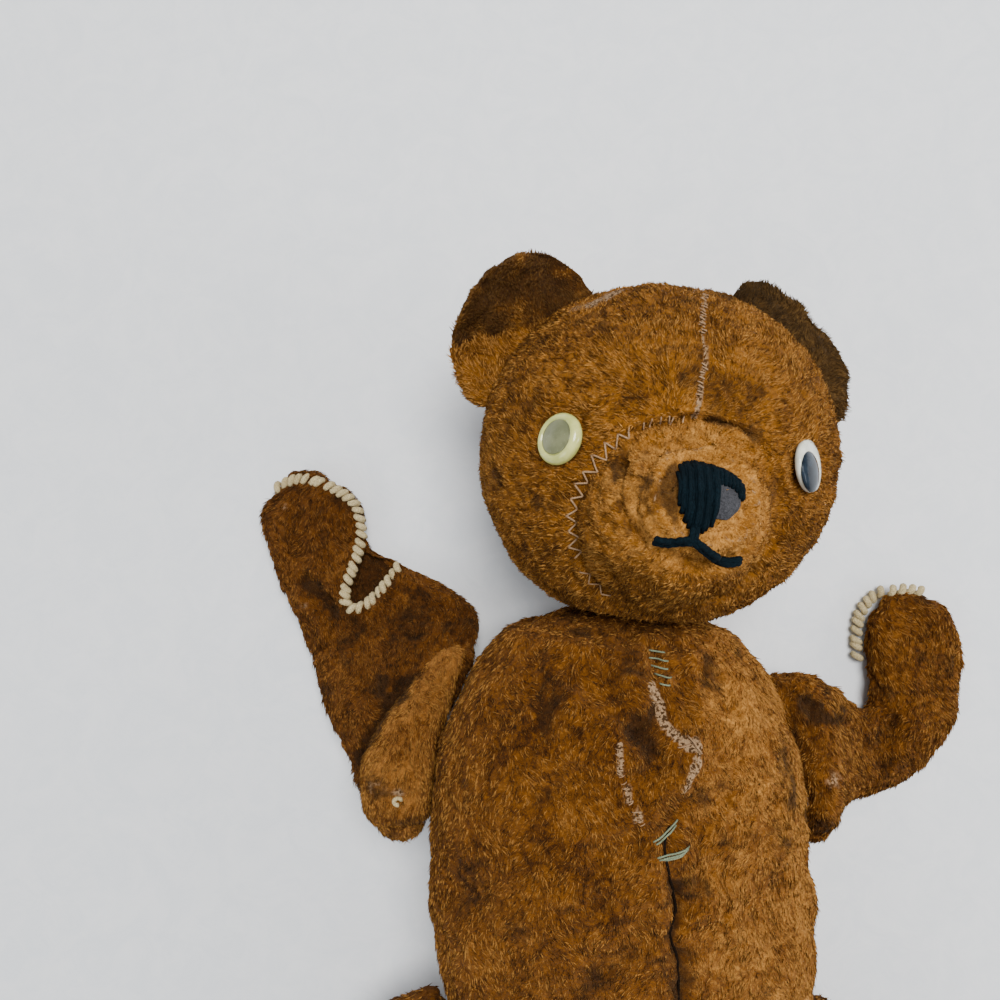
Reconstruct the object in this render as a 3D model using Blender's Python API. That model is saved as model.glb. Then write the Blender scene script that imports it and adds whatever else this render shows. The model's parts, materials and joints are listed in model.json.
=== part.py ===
"""A threadbare jointed teddy bear, lying on its back with its arms thrown out.

+Z is up and out of the bear's chest, +Y runs towards its head and +X to its own left. The origin is on
the flat of its back, under the middle of the torso. Each plush cover is a shell with holes where the pins
pass, and the wad of stuffing inside it is a piece of its own. Head, arms and legs turn on pins between
pairs of discs.
"""

import math

import bmesh
import bpy
from mathutils import Matrix, Vector

MM = 0.001
GAP = 0.4 * MM  # between pieces that touch
SKIN = 1.5 * MM  # a plush cover's wall
WAD = SKIN + GAP  # how far the stuffing lies inside a cover's outer face
SLACK_WAD = WAD + 1.2 * MM  # in the limbs, whose stuffing has settled
FULLNESS = 2.5  # exponent of the torso's rounded outline: 2 is an ellipse, more is squarer

TORSO_HALF_WIDTH = 76 * MM
TORSO_HALF_DEPTH = 57 * MM
TORSO_MIDDLE_Z = 55 * MM  # less than the half depth, so the back is flat where it rests
TORSO_UP = 108 * MM
TORSO_DOWN = 125 * MM

HEAD_TILT = math.radians(-6)
HEAD_RADII = Vector((69, 66.6, 66)) * MM
NECK = Vector((6.2, 105.3, 62)) * MM
HEAD_CENTRE = Vector((0, 62, 4)) * MM  # in the head's own frame, whose origin is the neck
HEAD_FULLNESS = 2.1
MUZZLE_CENTRE = Vector((0, 41, 38)) * MM
MUZZLE_RADII = Vector((36, 33, 55)) * MM
MUZZLE_FULLNESS = 2.3

EYE_ACROSS = 41.5 * MM
EYE_ANGLE = math.radians(36)
EAR_HALF_WIDTH = 32 * MM
EAR_LAYER = 2.6 * MM

SHOULDER_Y = 23 * MM
SHOULDER_Z = 45 * MM
HIP_Y = -90 * MM
HIP_Z = 48 * MM
LOBE_RADIUS = 17.5 * MM
SHOULDER_DISC = 12 * MM
HIP_DISC = 13 * MM
DISC_ROOM = 1 * MM  # round a disc in its pocket
PIN_RADIUS = 1.5 * MM
PIN_HOLE = 2.0 * MM
SHANK_HOLE = 2.4 * MM
YARN_RADIUS = 0.9 * MM


# Making, cutting and placing ------------------------------------------------------------------------


def clear_scene():
    for thing in list(bpy.data.objects):
        bpy.data.objects.remove(thing, do_unlink=True)


def plain_material(name, colour, roughness, metallic=0.0):
    material = bpy.data.materials.new(name)
    material.use_nodes = True
    shader = material.node_tree.nodes["Principled BSDF"]
    shader.inputs["Base Color"].default_value = (*colour, 1.0)
    shader.inputs["Roughness"].default_value = roughness
    shader.inputs["Metallic"].default_value = metallic
    return material


def pivot(name, place, turn=0.0):
    empty = bpy.data.objects.new(name, None)
    empty.location = place
    empty.rotation_euler = (0, 0, turn)
    bpy.context.scene.collection.objects.link(empty)
    bpy.context.view_layer.update()
    return empty


def put(name, data, parent=None, local=False):
    """Links an object. A mesh made in world places is moved into its parent's frame unless it is local."""
    thing = bpy.data.objects.new(name, data)
    bpy.context.scene.collection.objects.link(thing)
    if parent is not None:
        if not local:
            data.transform(parent.matrix_world.inverted())
        thing.parent = parent
    return thing


def piece(name, bm, material, parent=None, local=False):
    bmesh.ops.recalc_face_normals(bm, faces=bm.faces)
    mesh = bpy.data.meshes.new(name)
    bm.to_mesh(mesh)
    bm.free()
    mesh.materials.append(material)
    mesh.shade_smooth()
    mesh.set_sharp_from_angle(angle=math.radians(50))
    return put(name, mesh, parent, local)


def guide(name, bm, parent=None, local=False):
    """A shape that only cuts or joins others."""
    bmesh.ops.recalc_face_normals(bm, faces=bm.faces)
    mesh = bpy.data.meshes.new(name)
    bm.to_mesh(mesh)
    bm.free()
    thing = put(name, mesh, parent, local)
    thing.hide_render = True
    thing.display_type = "WIRE"
    return thing


def combine(thing, operation, *others):
    for other in others:
        step = thing.modifiers.new(other.name, "BOOLEAN")
        step.operation = operation
        step.solver = "EXACT"
        step.object = other


def loft(stations, sides=24, fullness=2.0, floor=None):
    """A closed skin over rings. A station is (centre, across, up, half width, half height)."""
    bm = bmesh.new()
    rings = []
    for centre, across, up, wide, high in stations:
        ring = []
        for k in range(sides):
            angle = math.tau * k / sides
            c = math.copysign(abs(math.cos(angle)) ** (2 / fullness), math.cos(angle))
            s = math.copysign(abs(math.sin(angle)) ** (2 / fullness), math.sin(angle))
            place = centre + across * (wide * c) + up * (high * s)
            if floor is not None:
                place.z = max(place.z, floor)
            ring.append(bm.verts.new(place))
        rings.append(ring)
    for ring in rings:
        for k in range(sides):
            bm.edges.new((ring[k], ring[(k + 1) % sides]))
    for lower, upper in zip(rings, rings[1:]):
        both = [e for e in bm.edges if all(v in lower for v in e.verts) or all(v in upper for v in e.verts)]
        bmesh.ops.bridge_loops(bm, edges=both)
    bm.faces.new(rings[0])
    bm.faces.new(rings[-1])
    return bm


def lathe(profile, place, axis, steps=20, closed=False):
    """Turns (radius, height) points about an axis through a place."""
    bm = bmesh.new()
    points = [bm.verts.new((radius, 0, height)) for radius, height in profile]
    edges = [bm.edges.new(pair) for pair in zip(points, points[1:])]
    if closed:
        edges.append(bm.edges.new((points[-1], points[0])))
    bmesh.ops.spin(bm, geom=points + edges, cent=(0, 0, 0), axis=(0, 0, 1), angle=math.tau, steps=steps)
    bmesh.ops.remove_doubles(bm, verts=bm.verts, dist=1e-6)
    turn = Vector((0, 0, 1)).rotation_difference(axis).to_matrix().to_4x4()
    bmesh.ops.transform(bm, matrix=Matrix.Translation(place) @ turn, verts=bm.verts)
    return bm


def rod(place, axis, start, end, radius, steps=10):
    return lathe([(0, start), (radius, start), (radius, end), (0, end)], place, axis, steps)


def yarn(name, points, radius, material, parent):
    """A round strand through points in the parent's own frame."""
    curve = bpy.data.curves.new(name, "CURVE")
    curve.dimensions = "3D"
    curve.bevel_depth = radius
    curve.bevel_resolution = 1
    curve.use_fill_caps = True
    line = curve.splines.new("POLY")
    line.points.add(len(points) - 1)
    for spot, place in zip(line.points, points):
        spot.co = (*place, 1.0)
    curve.materials.append(material)
    return put(name, curve, parent, local=True)


# Joint hardware --------------------------------------------------------------------------------------


def disc(name, place, axis, start, end, radius, material, parent=None, local=False):
    ring = [(PIN_HOLE, start), (radius, start), (radius, end), (PIN_HOLE, end)]
    return piece(name, lathe(ring, place, axis, 16, closed=True), material, parent, local)


def pin(name, place, axis, start, end, head, material, parent, local=False):
    """A headed pin, its heads turned over outside the two discs."""
    thick = 1.2 * MM
    profile = [(0, start), (head, start), (head, start + thick), (PIN_RADIUS, start + thick)]
    profile += [(PIN_RADIUS, end - thick), (head, end - thick), (head, end), (0, end)]
    return piece(name, lathe(profile, place, axis, 10), material, parent, local)


# Torso -----------------------------------------------------------------------------------------------


def torso_form(inset):
    """The torso's rounded form, with its sides, ends and resting flat moved inwards by inset."""
    stations = []
    steps = 12
    for k in range(steps + 1):
        share = math.sin(math.radians(-82 + 164 * k / steps))
        length = (TORSO_UP if share > 0 else TORSO_DOWN) - inset
        size = (1 - abs(share) ** FULLNESS) ** (1 / FULLNESS)
        centre = Vector((0, share * length, TORSO_MIDDLE_Z))
        wide = (TORSO_HALF_WIDTH - inset) * size
        high = (TORSO_HALF_DEPTH - inset) * size
        stations.append((centre, Vector((1, 0, 0)), Vector((0, 0, 1)), wide, high))
    bm = loft(stations, 22, FULLNESS, floor=inset)
    up = Vector((-math.sin(HEAD_TILT), math.cos(HEAD_TILT), 0))
    cut = NECK - up * (GAP + inset)
    everything = list(bm.verts) + list(bm.edges) + list(bm.faces)
    bmesh.ops.bisect_plane(bm, geom=everything, plane_co=cut, plane_no=up, clear_outer=True)
    rim = [e for e in bm.edges if e.is_boundary]
    bmesh.ops.holes_fill(bm, edges=rim, sides=0)
    return bm


def build_torso(looks, up):
    cover = piece("torso_cover", torso_form(0), looks["plush"])
    hollow = guide("torso_hollow", torso_form(SKIN))
    wad = piece("torso_stuffing", torso_form(WAD), looks["stuffing"])
    combine(cover, "DIFFERENCE", hollow)
    holes = [guide("neck_hole", rod(NECK, up, -30 * MM, 5 * MM, PIN_HOLE))]
    pockets = [guide("neck_pocket", rod(NECK, up, -15 * MM, 5 * MM, 18 * MM, 16))]
    for side, sign in (("right", -1), ("left", 1)):
        out = Vector((sign, 0, 0))
        shoulder = Vector((0, SHOULDER_Y, SHOULDER_Z))
        hip = Vector((0, HIP_Y, HIP_Z))
        holes.append(guide(f"shoulder_hole_{side}", rod(shoulder, out, 50 * MM, 90 * MM, PIN_HOLE)))
        holes.append(guide(f"hip_hole_{side}", rod(hip, out, 38 * MM, 80 * MM, PIN_HOLE)))
        room = rod(shoulder, out, 60 * MM, 90 * MM, SHOULDER_DISC + DISC_ROOM, 16)
        pockets.append(guide(f"shoulder_pocket_{side}", room))
        room = rod(hip, out, 40 * MM, 48 * MM, HIP_DISC + DISC_ROOM, 16)
        pockets.append(guide(f"hip_pocket_{side}", room))
        pockets.append(holes[-1])
        disc(f"shoulder_disc_body_{side}", shoulder, out, 63.6 * MM, 66 * MM, SHOULDER_DISC, looks["board"])
        disc(f"hip_disc_body_{side}", hip, out, 44.4 * MM, 46.8 * MM, HIP_DISC, looks["board"])
    combine(cover, "DIFFERENCE", *holes)
    combine(wad, "DIFFERENCE", *pockets)
    disc("neck_disc_body", NECK, up, -9.4 * MM, -7 * MM, 17 * MM, looks["board"])


# Head ------------------------------------------------------------------------------------------------


def head_form(inset):
    """The round head in its own frame, cut flat where it sits on the torso."""
    stations = []
    steps = 10
    first = math.asin(-(HEAD_CENTRE.y - GAP) / HEAD_RADII.y)
    for k in range(steps + 1):
        share = math.sin(first + (math.radians(80) - first) * k / steps)
        size = (1 - abs(share) ** HEAD_FULLNESS) ** (1 / HEAD_FULLNESS)
        along = HEAD_RADII.y * share
        along = along + inset if k == 0 else along * (1 - inset / HEAD_RADII.y)
        centre = HEAD_CENTRE + Vector((0, along, 0))
        wide = (HEAD_RADII.x - inset) * size
        high = (HEAD_RADII.z - inset) * size
        stations.append((centre, Vector((1, 0, 0)), Vector((0, 0, 1)), wide, high))
    return loft(stations, 20, HEAD_FULLNESS)


def muzzle_form(inset):
    """The blunt dome of the muzzle in the head's frame, from inside the head out to the nose."""
    stations = []
    steps = 9
    for k in range(steps + 1):
        share = math.sin(math.radians(-8 + 88 * k / steps))
        size = (1 - abs(share) ** MUZZLE_FULLNESS) ** (1 / MUZZLE_FULLNESS)
        centre = MUZZLE_CENTRE + Vector((0, 0, share * (MUZZLE_RADII.z - inset)))
        wide = (MUZZLE_RADII.x - inset) * size
        high = (MUZZLE_RADII.y - inset) * size
        stations.append((centre, Vector((1, 0, 0)), Vector((0, 1, 0)), wide, high))
    return loft(stations, 18)


def muzzle_place(x, y, proud):
    """The point of the muzzle over (x, y), both measured from its middle, proud of its surface."""
    size = math.hypot(x / MUZZLE_RADII.x, y / MUZZLE_RADII.y)
    out = (1 - size**MUZZLE_FULLNESS) ** (1 / MUZZLE_FULLNESS)
    return MUZZLE_CENTRE + Vector((x, y, MUZZLE_RADII.z * out + proud))


def build_head(looks, neck):
    cover = piece("head_cover", head_form(0), looks["plush"], neck, local=True)
    hollow = guide("head_hollow", head_form(SKIN), neck, local=True)
    wad = piece("head_stuffing", head_form(WAD), looks["stuffing"], neck, local=True)
    up = Vector((0, 1, 0))
    start = Vector((0, 0, 0))
    hole = guide("head_pin_hole", rod(start, up, -5 * MM, 30 * MM, PIN_HOLE), neck, local=True)
    pocket = guide("head_pocket", rod(start, up, -5 * MM, 10 * MM, 25 * MM, 16), neck, local=True)
    mouth_of_muzzle = rod(MUZZLE_CENTRE, Vector((0, 0, 1)), 0, 60 * MM, 22 * MM, 18)
    opening = guide("muzzle_opening", mouth_of_muzzle, neck, local=True)
    combine(cover, "DIFFERENCE", hollow, hole, opening)
    combine(wad, "DIFFERENCE", pocket)
    disc("neck_disc_head", start, up, 3 * MM, 5.4 * MM, 24 * MM, looks["board"], neck, local=True)
    pin("neck_pin", start, up, -12 * MM, 8 * MM, 4 * MM, looks["steel"], neck, local=True)
    build_muzzle(looks, neck)
    build_ears(looks, neck)
    shanks = build_eyes(looks, neck)
    combine(cover, "DIFFERENCE", *shanks)
    combine(wad, "DIFFERENCE", *shanks)


def build_muzzle(looks, neck):
    around = guide("head_outside", head_form(-GAP), neck, local=True)
    cover = piece("muzzle_cover", muzzle_form(0), looks["plush"], neck, local=True)
    hollow = guide("muzzle_hollow", muzzle_form(SKIN), neck, local=True)
    wad = piece("muzzle_stuffing", muzzle_form(WAD), looks["stuffing"], neck, local=True)
    combine(cover, "DIFFERENCE", hollow, around)
    combine(wad, "DIFFERENCE", around)
    build_nose(looks, neck)


def build_nose(looks, neck):
    """The nose: a bald patch with a pad of wool stitches over it, then the mouth's two strands."""
    patch = ("nose_patch", GAP, 1.2 * MM, 1.0, "felt")
    stitching = ("nose_stitching", 1.6 * MM, 2.8 * MM, 0.86, "wool")
    for name, low, high, size, look in (patch, stitching):
        middle = MUZZLE_CENTRE + Vector((0, 7 * MM, 0))
        up = Vector((0, 1, 0))
        across = Vector((1, 0, 0))
        wide, tall = 12 * MM * size, 9.5 * MM * size
        ends = [(middle + Vector((0, 0, z * MM)), across, up, wide, tall) for z in (40, 70)]
        pad = piece(name, loft(ends, 20), looks[look], neck, local=True)
        inside = guide(f"{name}_inside", muzzle_form(-low), neck, local=True)
        outside = guide(f"{name}_outside", muzzle_form(-high), neck, local=True)
        combine(pad, "INTERSECT", outside)
        combine(pad, "DIFFERENCE", inside)
    proud = YARN_RADIUS + 0.8 * MM
    middle = [muzzle_place(0, y * MM, proud) for y in (-3.4, -5, -6.6)]
    yarn("philtrum_strand", middle, YARN_RADIUS, looks["wool"], neck)
    bends = ((-13, -10.6), (-9, -9.6), (-4.5, -9.0), (0, -8.8), (5, -9.6), (9.5, -11.2), (14, -13.4))
    line = [muzzle_place(x * MM, y * MM, proud) for x, y in bends]
    yarn("mouth_strand", line, YARN_RADIUS, looks["wool"], neck)


def build_eyes(looks, neck):
    """Two odd eyes: one glassy domed button, and one white disc with a loose dark pupil."""
    dome = [(0, 5.2), (3, 5.0), (6, 4.0), (8, 2.6), (9, 1.2), (8.6, 0.4), (1.9, 0.4), (1.9, -9), (0, -9)]
    plate = [(0, 3.0), (5.5, 2.8), (8, 2.1), (9, 1.2), (8.6, 0.4), (1.9, 0.4), (1.9, -9), (0, -9)]
    pupil = [(0, 5.4), (2.4, 5.1), (4.1, 4.3), (4.8, 3.4), (0, 3.4)]
    shanks = []
    for side, sign, profile, look in (("right", -1, dome, "button"), ("left", 1, plate, "china")):
        out = Vector((sign * math.sin(EYE_ANGLE), 0, math.cos(EYE_ANGLE)))
        lift = HEAD_RADII.z * math.sqrt(1 - (EYE_ACROSS / HEAD_RADII.x) ** 2)
        seat = HEAD_CENTRE + Vector((sign * EYE_ACROSS, -1 * MM, lift)) + out * (1.4 * MM)
        turned = lathe([(r * MM, h * MM) for r, h in profile], seat, out, 20)
        piece(f"eye_button_{side}", turned, looks[look], neck, local=True)
        if side == "left":
            across = Vector((math.cos(EYE_ANGLE), 0, -math.sin(EYE_ANGLE)))
            slip = across * (-1.4 * MM) + Vector((0, -1.2 * MM, 0))
            turned = lathe([(r * MM, h * MM) for r, h in pupil], seat + slip, out, 16)
            piece("eye_pupil_left", turned, looks["wool"], neck, local=True)
        hole = rod(seat, out, -12 * MM, 3 * MM, SHANK_HOLE, 12)
        shanks.append(guide(f"eye_hole_{side}", hole, neck, local=True))
    return shanks


def build_ears(looks, neck):
    """Each ear is two half-round layers, sewn on along the side of the head."""
    around = guide("head_for_ears", head_form(-GAP), neck, local=True)
    for side, sign, turned, reach, lean in (("right", -1, 50, 26 * MM, 14), ("left", 1, 48, 16 * MM, -16)):
        angle = math.radians(turned)
        tip = Vector((sign * math.sin(angle), math.cos(angle), 0))
        lean_turn = Matrix.Rotation(math.radians(lean), 3, Vector((tip.y, -tip.x, 0)))
        along = Vector((tip.y, -tip.x, 0))
        face = (lean_turn @ Vector((0, 0, 1))).normalized()
        root = HEAD_CENTRE + tip * (0.93 * HEAD_RADII.x) + Vector((0, 0, 6 * MM))
        for layer, low in (("front", GAP / 2), ("back", -GAP / 2 - EAR_LAYER)):
            bm = half_round(EAR_HALF_WIDTH, reach + 8 * MM, EAR_LAYER)
            turn = Matrix((along, face.cross(along), face)).transposed().to_4x4()
            place = Matrix.Translation(root + face * low) @ turn
            bmesh.ops.transform(bm, matrix=place, verts=bm.verts)
            ear = piece(f"ear_{layer}_{side}", bm, looks["plush"], neck, local=True)
            combine(ear, "DIFFERENCE", around)


def half_round(half_width, height, thick):
    """A half-round plate standing on the X axis, rising along +Y and as thick as thick along +Z."""
    bm = bmesh.new()
    steps = 16
    rim = []
    for k in range(steps + 1):
        angle = math.pi * k / steps
        rim.append(bm.verts.new((half_width * math.cos(angle), height * math.sin(angle), 0)))
    face = bm.faces.new(rim)
    raised = bmesh.ops.extrude_face_region(bm, geom=[face])
    moved = [v for v in raised["geom"] if isinstance(v, bmesh.types.BMVert)]
    bmesh.ops.translate(bm, vec=(0, 0, thick), verts=moved)
    return bm


# Arms ------------------------------------------------------------------------------------------------

# The slack right arm lies beside the head. Each row is a cross-section: its place along Y, its low outer
# corner and its high inner corner as (x, z), and half its thickness, in mm.
RIGHT_ARM = (
    (-6, (-103, 10), (-93, 20), 5),
    (0, (-109, 9), (-94, 26), 5.8),
    (12, (-115, 8), (-88, 35), 7.5),
    (24, (-118, 8), (-88, 36), 8),
    (40, (-127, 8.5), (-83, 43), 8.5),
    (60, (-135, 9), (-78, 36), 8),
    (80, (-141, 9), (-68, 22), 8),
    (97, (-147, 9), (-61, 12), 8.5),
    (112, (-155, 9), (-80, 10), 8.7),
    (126, (-162, 9), (-106, 9), 8.7),
    (142, (-164, 9), (-111, 9), 8.7),
    (155, (-158, 9), (-120, 9), 8),
    (162, (-149, 9), (-135, 9), 5.5),
)
# The left arm runs out from under the shoulder and its paw turns up. Each row is a cross-section: its
# middle (x, y, z), the heading of the arm in degrees from +X, half its width and half its thickness.
LEFT_ARM = (
    (81, 33, 38, 0, 20, 18),
    (88, 34, 34, 0, 31, 20),
    (98, 34, 27, 0, 36, 16),
    (110, 32, 17, 0, 30, 12),
    (122, 30, 11, 4, 22, 10),
    (134, 31, 10, 18, 18, 9.5),
    (144, 37, 10, 45, 18, 9.5),
    (150, 49, 10, 75, 20, 9.5),
    (151, 64, 10, 92, 22, 9.5),
    (150, 80, 10, 96, 23, 9.3),
    (147, 95, 10, 100, 18, 8.5),
    (146, 102, 10, 100, 10, 6),
)


def right_arm_form(inset):
    stations = []
    for k, (y, low, high, thick) in enumerate(RIGHT_ARM):
        a = Vector((low[0], y, low[1])) * MM
        b = Vector((high[0], y, high[1])) * MM
        across = (b - a).normalized()
        up = Vector((-across.z, 0, across.x))
        end = {0: 1, len(RIGHT_ARM) - 1: -1}.get(k, 0)
        centre = (a + b) / 2 + Vector((0, end * inset, 0))
        wide = (b - a).length / 2 - inset
        high_half = thick * MM - inset
        stations.append((centre, across, up, wide, high_half))
    return loft(stations, 14, 2.2, floor=0.3 * MM + inset)


def left_arm_form(inset):
    stations = []
    for k, (x, y, z, heading, wide, thick) in enumerate(LEFT_ARM):
        along = Vector((math.cos(math.radians(heading)), math.sin(math.radians(heading)), 0))
        across = Vector((-along.y, along.x, 0))
        end = {0: 1, len(LEFT_ARM) - 1: -1}.get(k, 0)
        centre = Vector((x, y, z)) * MM + along * (end * inset)
        stations.append((centre, across, Vector((0, 0, 1)), wide * MM - inset, thick * MM - inset))
    return loft(stations, 14, 2.2, floor=0.3 * MM + inset)


def lobe_form(sign, inset):
    """The round shoulder lobe that the pin goes through, flat against the torso's side."""
    place = Vector((0, SHOULDER_Y, SHOULDER_Z))
    start, end = 78 * MM + inset, 92 * MM - inset
    radius = LOBE_RADIUS - inset
    soft = 3 * MM
    profile = [(0, start), (radius - soft, start), (radius, start + soft)]
    profile += [(radius, end - soft), (radius - soft, end), (0, end)]
    return lathe(profile, place, Vector((sign, 0, 0)), 16)


def build_arm(side, sign, form, looks, parent):
    out = Vector((sign, 0, 0))
    shoulder = Vector((0, SHOULDER_Y, SHOULDER_Z))
    cover = piece(f"arm_cover_{side}", form(0), looks["worn_plush"], parent)
    combine(cover, "UNION", guide(f"lobe_{side}", lobe_form(sign, 0), parent))
    hollow = guide(f"arm_hollow_{side}", form(SKIN), parent)
    combine(hollow, "UNION", guide(f"lobe_hollow_{side}", lobe_form(sign, SKIN), parent))
    hole = guide(f"arm_pin_hole_{side}", rod(shoulder, out, 70 * MM, 86 * MM, PIN_HOLE), parent)
    combine(cover, "DIFFERENCE", hollow, hole)
    wad = piece(f"arm_stuffing_{side}", form(SLACK_WAD), looks["stuffing"], parent)
    combine(wad, "UNION", guide(f"lobe_wad_{side}", lobe_form(sign, SLACK_WAD), parent))
    room = rod(shoulder, out, 70 * MM, 88 * MM, SHOULDER_DISC + DISC_ROOM, 16)
    combine(wad, "DIFFERENCE", guide(f"arm_pocket_{side}", room, parent))
    board = looks["board"]
    disc(f"shoulder_disc_arm_{side}", shoulder, out, 80.4 * MM, 82.8 * MM, SHOULDER_DISC, board, parent)
    pin(f"shoulder_pin_{side}", shoulder, out, 61 * MM, 85.5 * MM, 3.6 * MM, looks["steel"], parent)


def build_shoulder_knot(looks, parent):
    """The bead of cord in the dimple outside the right shoulder."""
    profile = [(0, 92.4), (3.4, 92.4), (3.2, 94.4), (0, 95.6)]
    shoulder = Vector((0, SHOULDER_Y, SHOULDER_Z))
    bead = lathe([(r * MM, h * MM) for r, h in profile], shoulder, Vector((-1, 0, 0)), 14)
    piece("shoulder_knot_right", bead, looks["cream"], parent)


def build_right_edging(looks, parent):
    """The yarn sewn over the edge of the slack right paw, from its outer side over the tip."""
    proud = YARN_RADIUS + 1.1 * MM
    rows = [row for row in RIGHT_ARM if row[0] >= 126]
    outer = [Vector((row[1][0] * MM - proud, row[0] * MM, row[1][1] * MM)) for row in rows]
    inner = [Vector((row[2][0] * MM + proud, row[0] * MM, row[2][1] * MM)) for row in reversed(rows)]
    tip = [point + Vector((0, 2.4 * MM, 0)) for point in (outer[-1], inner[0])]
    route = outer[:-1] + tip + inner[1:]
    local = [point - parent.location for point in route]
    yarn("paw_edging_right", local, YARN_RADIUS, looks["cream"], parent)


def build_left_edging(looks, parent):
    """The same edging down the inner side and over the tip of the left paw."""
    proud = YARN_RADIUS + 1.1 * MM
    route = []
    for x, y, z, heading, wide, _ in LEFT_ARM[-5:]:
        turn = math.radians(heading)
        across = Vector((-math.sin(turn), math.cos(turn), 0))
        route.append(Vector((x, y, z)) * MM + across * (wide * MM + proud))
    along = Vector((math.cos(turn), math.sin(turn), 0))
    route[-1] += along * (2.4 * MM)
    route.append(route[-1] - across * (2 * (LEFT_ARM[-1][4] * MM + proud)))
    local = [point - parent.location for point in route]
    yarn("paw_edging_left", local, YARN_RADIUS, looks["cream"], parent)


# Legs ------------------------------------------------------------------------------------------------

# Each row is a cross-section of a leg: its place along Y, its middle's distance from the middle of the
# bear, its height, half its width and half its depth, in mm. The last rows are the upturned foot.
LEG = (
    (-64, 78.5, 49, 6, 8),
    (-68, 82.5, 49, 11, 15),
    (-78, 86.1, 48.5, 18, 24),
    (-90, 87, 48, 22.5, 27.5),
    (-112, 87.5, 46, 24.5, 29),
    (-145, 88.5, 41, 24.5, 28),
    (-178, 89.5, 34, 22, 26),
    (-198, 90.5, 31, 20, 25),
    (-213, 91, 38, 21, 33),
    (-226, 91.5, 45, 23, 42),
    (-239, 91.5, 47, 24, 46.6),
    (-244, 91.5, 47, 22, 44),
)
SOLE_THICK = 1.2 * MM


def leg_form(sign, inset):
    stations = []
    for k, (y, x, z, wide, deep) in enumerate(LEG):
        end = {0: -1, len(LEG) - 1: 1}.get(k, 0)
        centre = Vector((sign * x, y, z)) * MM + Vector((0, end * inset, 0))
        across, up = Vector((1, 0, 0)), Vector((0, 0, 1))
        stations.append((centre, across, up, wide * MM - inset, deep * MM - inset))
    return loft(stations, 16, 2.1)


def build_leg(side, sign, looks, parent):
    out = Vector((sign, 0, 0))
    hip = Vector((0, HIP_Y, HIP_Z))
    cover = piece(f"leg_cover_{side}", leg_form(sign, 0), looks["plush"], parent)
    hollow = guide(f"leg_hollow_{side}", leg_form(sign, SKIN), parent)
    hole = guide(f"leg_pin_hole_{side}", rod(hip, out, 55 * MM, 80 * MM, PIN_HOLE), parent)
    combine(cover, "DIFFERENCE", hollow, hole)
    wad = piece(f"leg_stuffing_{side}", leg_form(sign, SLACK_WAD), looks["stuffing"], parent)
    pocket = guide(f"leg_pocket_{side}", rod(hip, out, 55 * MM, 80 * MM, HIP_DISC + DISC_ROOM, 16), parent)
    combine(wad, "DIFFERENCE", pocket)
    disc(f"hip_disc_leg_{side}", hip, out, 73 * MM, 75.4 * MM, HIP_DISC, looks["board"], parent)
    pin(f"hip_pin_{side}", hip, out, 41.6 * MM, 78 * MM, 3.6 * MM, looks["steel"], parent)
    y, x, z, wide, deep = LEG[-1]
    sole = Vector((sign * x, y, z)) * MM
    ends = []
    for back in (GAP, GAP + SOLE_THICK):
        centre = sole - Vector((0, back, 0))
        ends.append((centre, Vector((1, 0, 0)), Vector((0, 0, 1)), (wide - 1) * MM, (deep - 1) * MM))
    piece(f"foot_pad_{side}", loft(ends, 20, 2.1), looks["felt"], parent)


# The whole bear --------------------------------------------------------------------------------------


def build_bear():
    clear_scene()
    looks = {
        "plush": plain_material("plush", (0.30, 0.13, 0.045), 0.95),
        "worn_plush": plain_material("worn_plush", (0.17, 0.075, 0.03), 0.95),
        "stuffing": plain_material("stuffing", (0.62, 0.53, 0.36), 0.95),
        "board": plain_material("board", (0.25, 0.15, 0.08), 0.8),
        "steel": plain_material("steel", (0.55, 0.53, 0.5), 0.4, 1.0),
        "felt": plain_material("felt", (0.06, 0.06, 0.065), 0.9),
        "wool": plain_material("wool", (0.008, 0.014, 0.022), 0.8),
        "button": plain_material("button", (0.5, 0.52, 0.3), 0.15),
        "china": plain_material("china", (0.72, 0.72, 0.66), 0.2),
        "cream": plain_material("cream", (0.7, 0.6, 0.35), 0.85),
    }
    up = Vector((-math.sin(HEAD_TILT), math.cos(HEAD_TILT), 0))
    build_torso(looks, up)
    build_head(looks, pivot("neck_pivot", NECK, HEAD_TILT))
    right_shoulder = pivot("shoulder_pivot_right", Vector((-78 * MM, SHOULDER_Y, SHOULDER_Z)))
    left_shoulder = pivot("shoulder_pivot_left", Vector((78 * MM, SHOULDER_Y, SHOULDER_Z)))
    build_arm("right", -1, right_arm_form, looks, right_shoulder)
    build_arm("left", 1, left_arm_form, looks, left_shoulder)
    build_shoulder_knot(looks, right_shoulder)
    build_right_edging(looks, right_shoulder)
    build_left_edging(looks, left_shoulder)
    build_leg("right", -1, looks, pivot("hip_pivot_right", Vector((-63 * MM, HIP_Y, HIP_Z))))
    build_leg("left", 1, looks, pivot("hip_pivot_left", Vector((63 * MM, HIP_Y, HIP_Z))))


build_bear()
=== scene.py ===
# %% [markdown]
# # A threadbare jointed teddy bear
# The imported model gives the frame: where each cover, disc and pin is, and how the limbs turn. This lesson
# dresses it. Each plush cover is a closed surface worked out on a grid, puffed by a short cloth simulation,
# dented and wrinkled by formulas, and then planted with thousands of small leaning tufts.
# Everything is in metres, +Z out of the chest, +Y towards the head.

# %% Load the frame
import json
import math

import bpy
import numpy as np
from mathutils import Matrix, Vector
from mathutils.bvhtree import BVHTree


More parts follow.
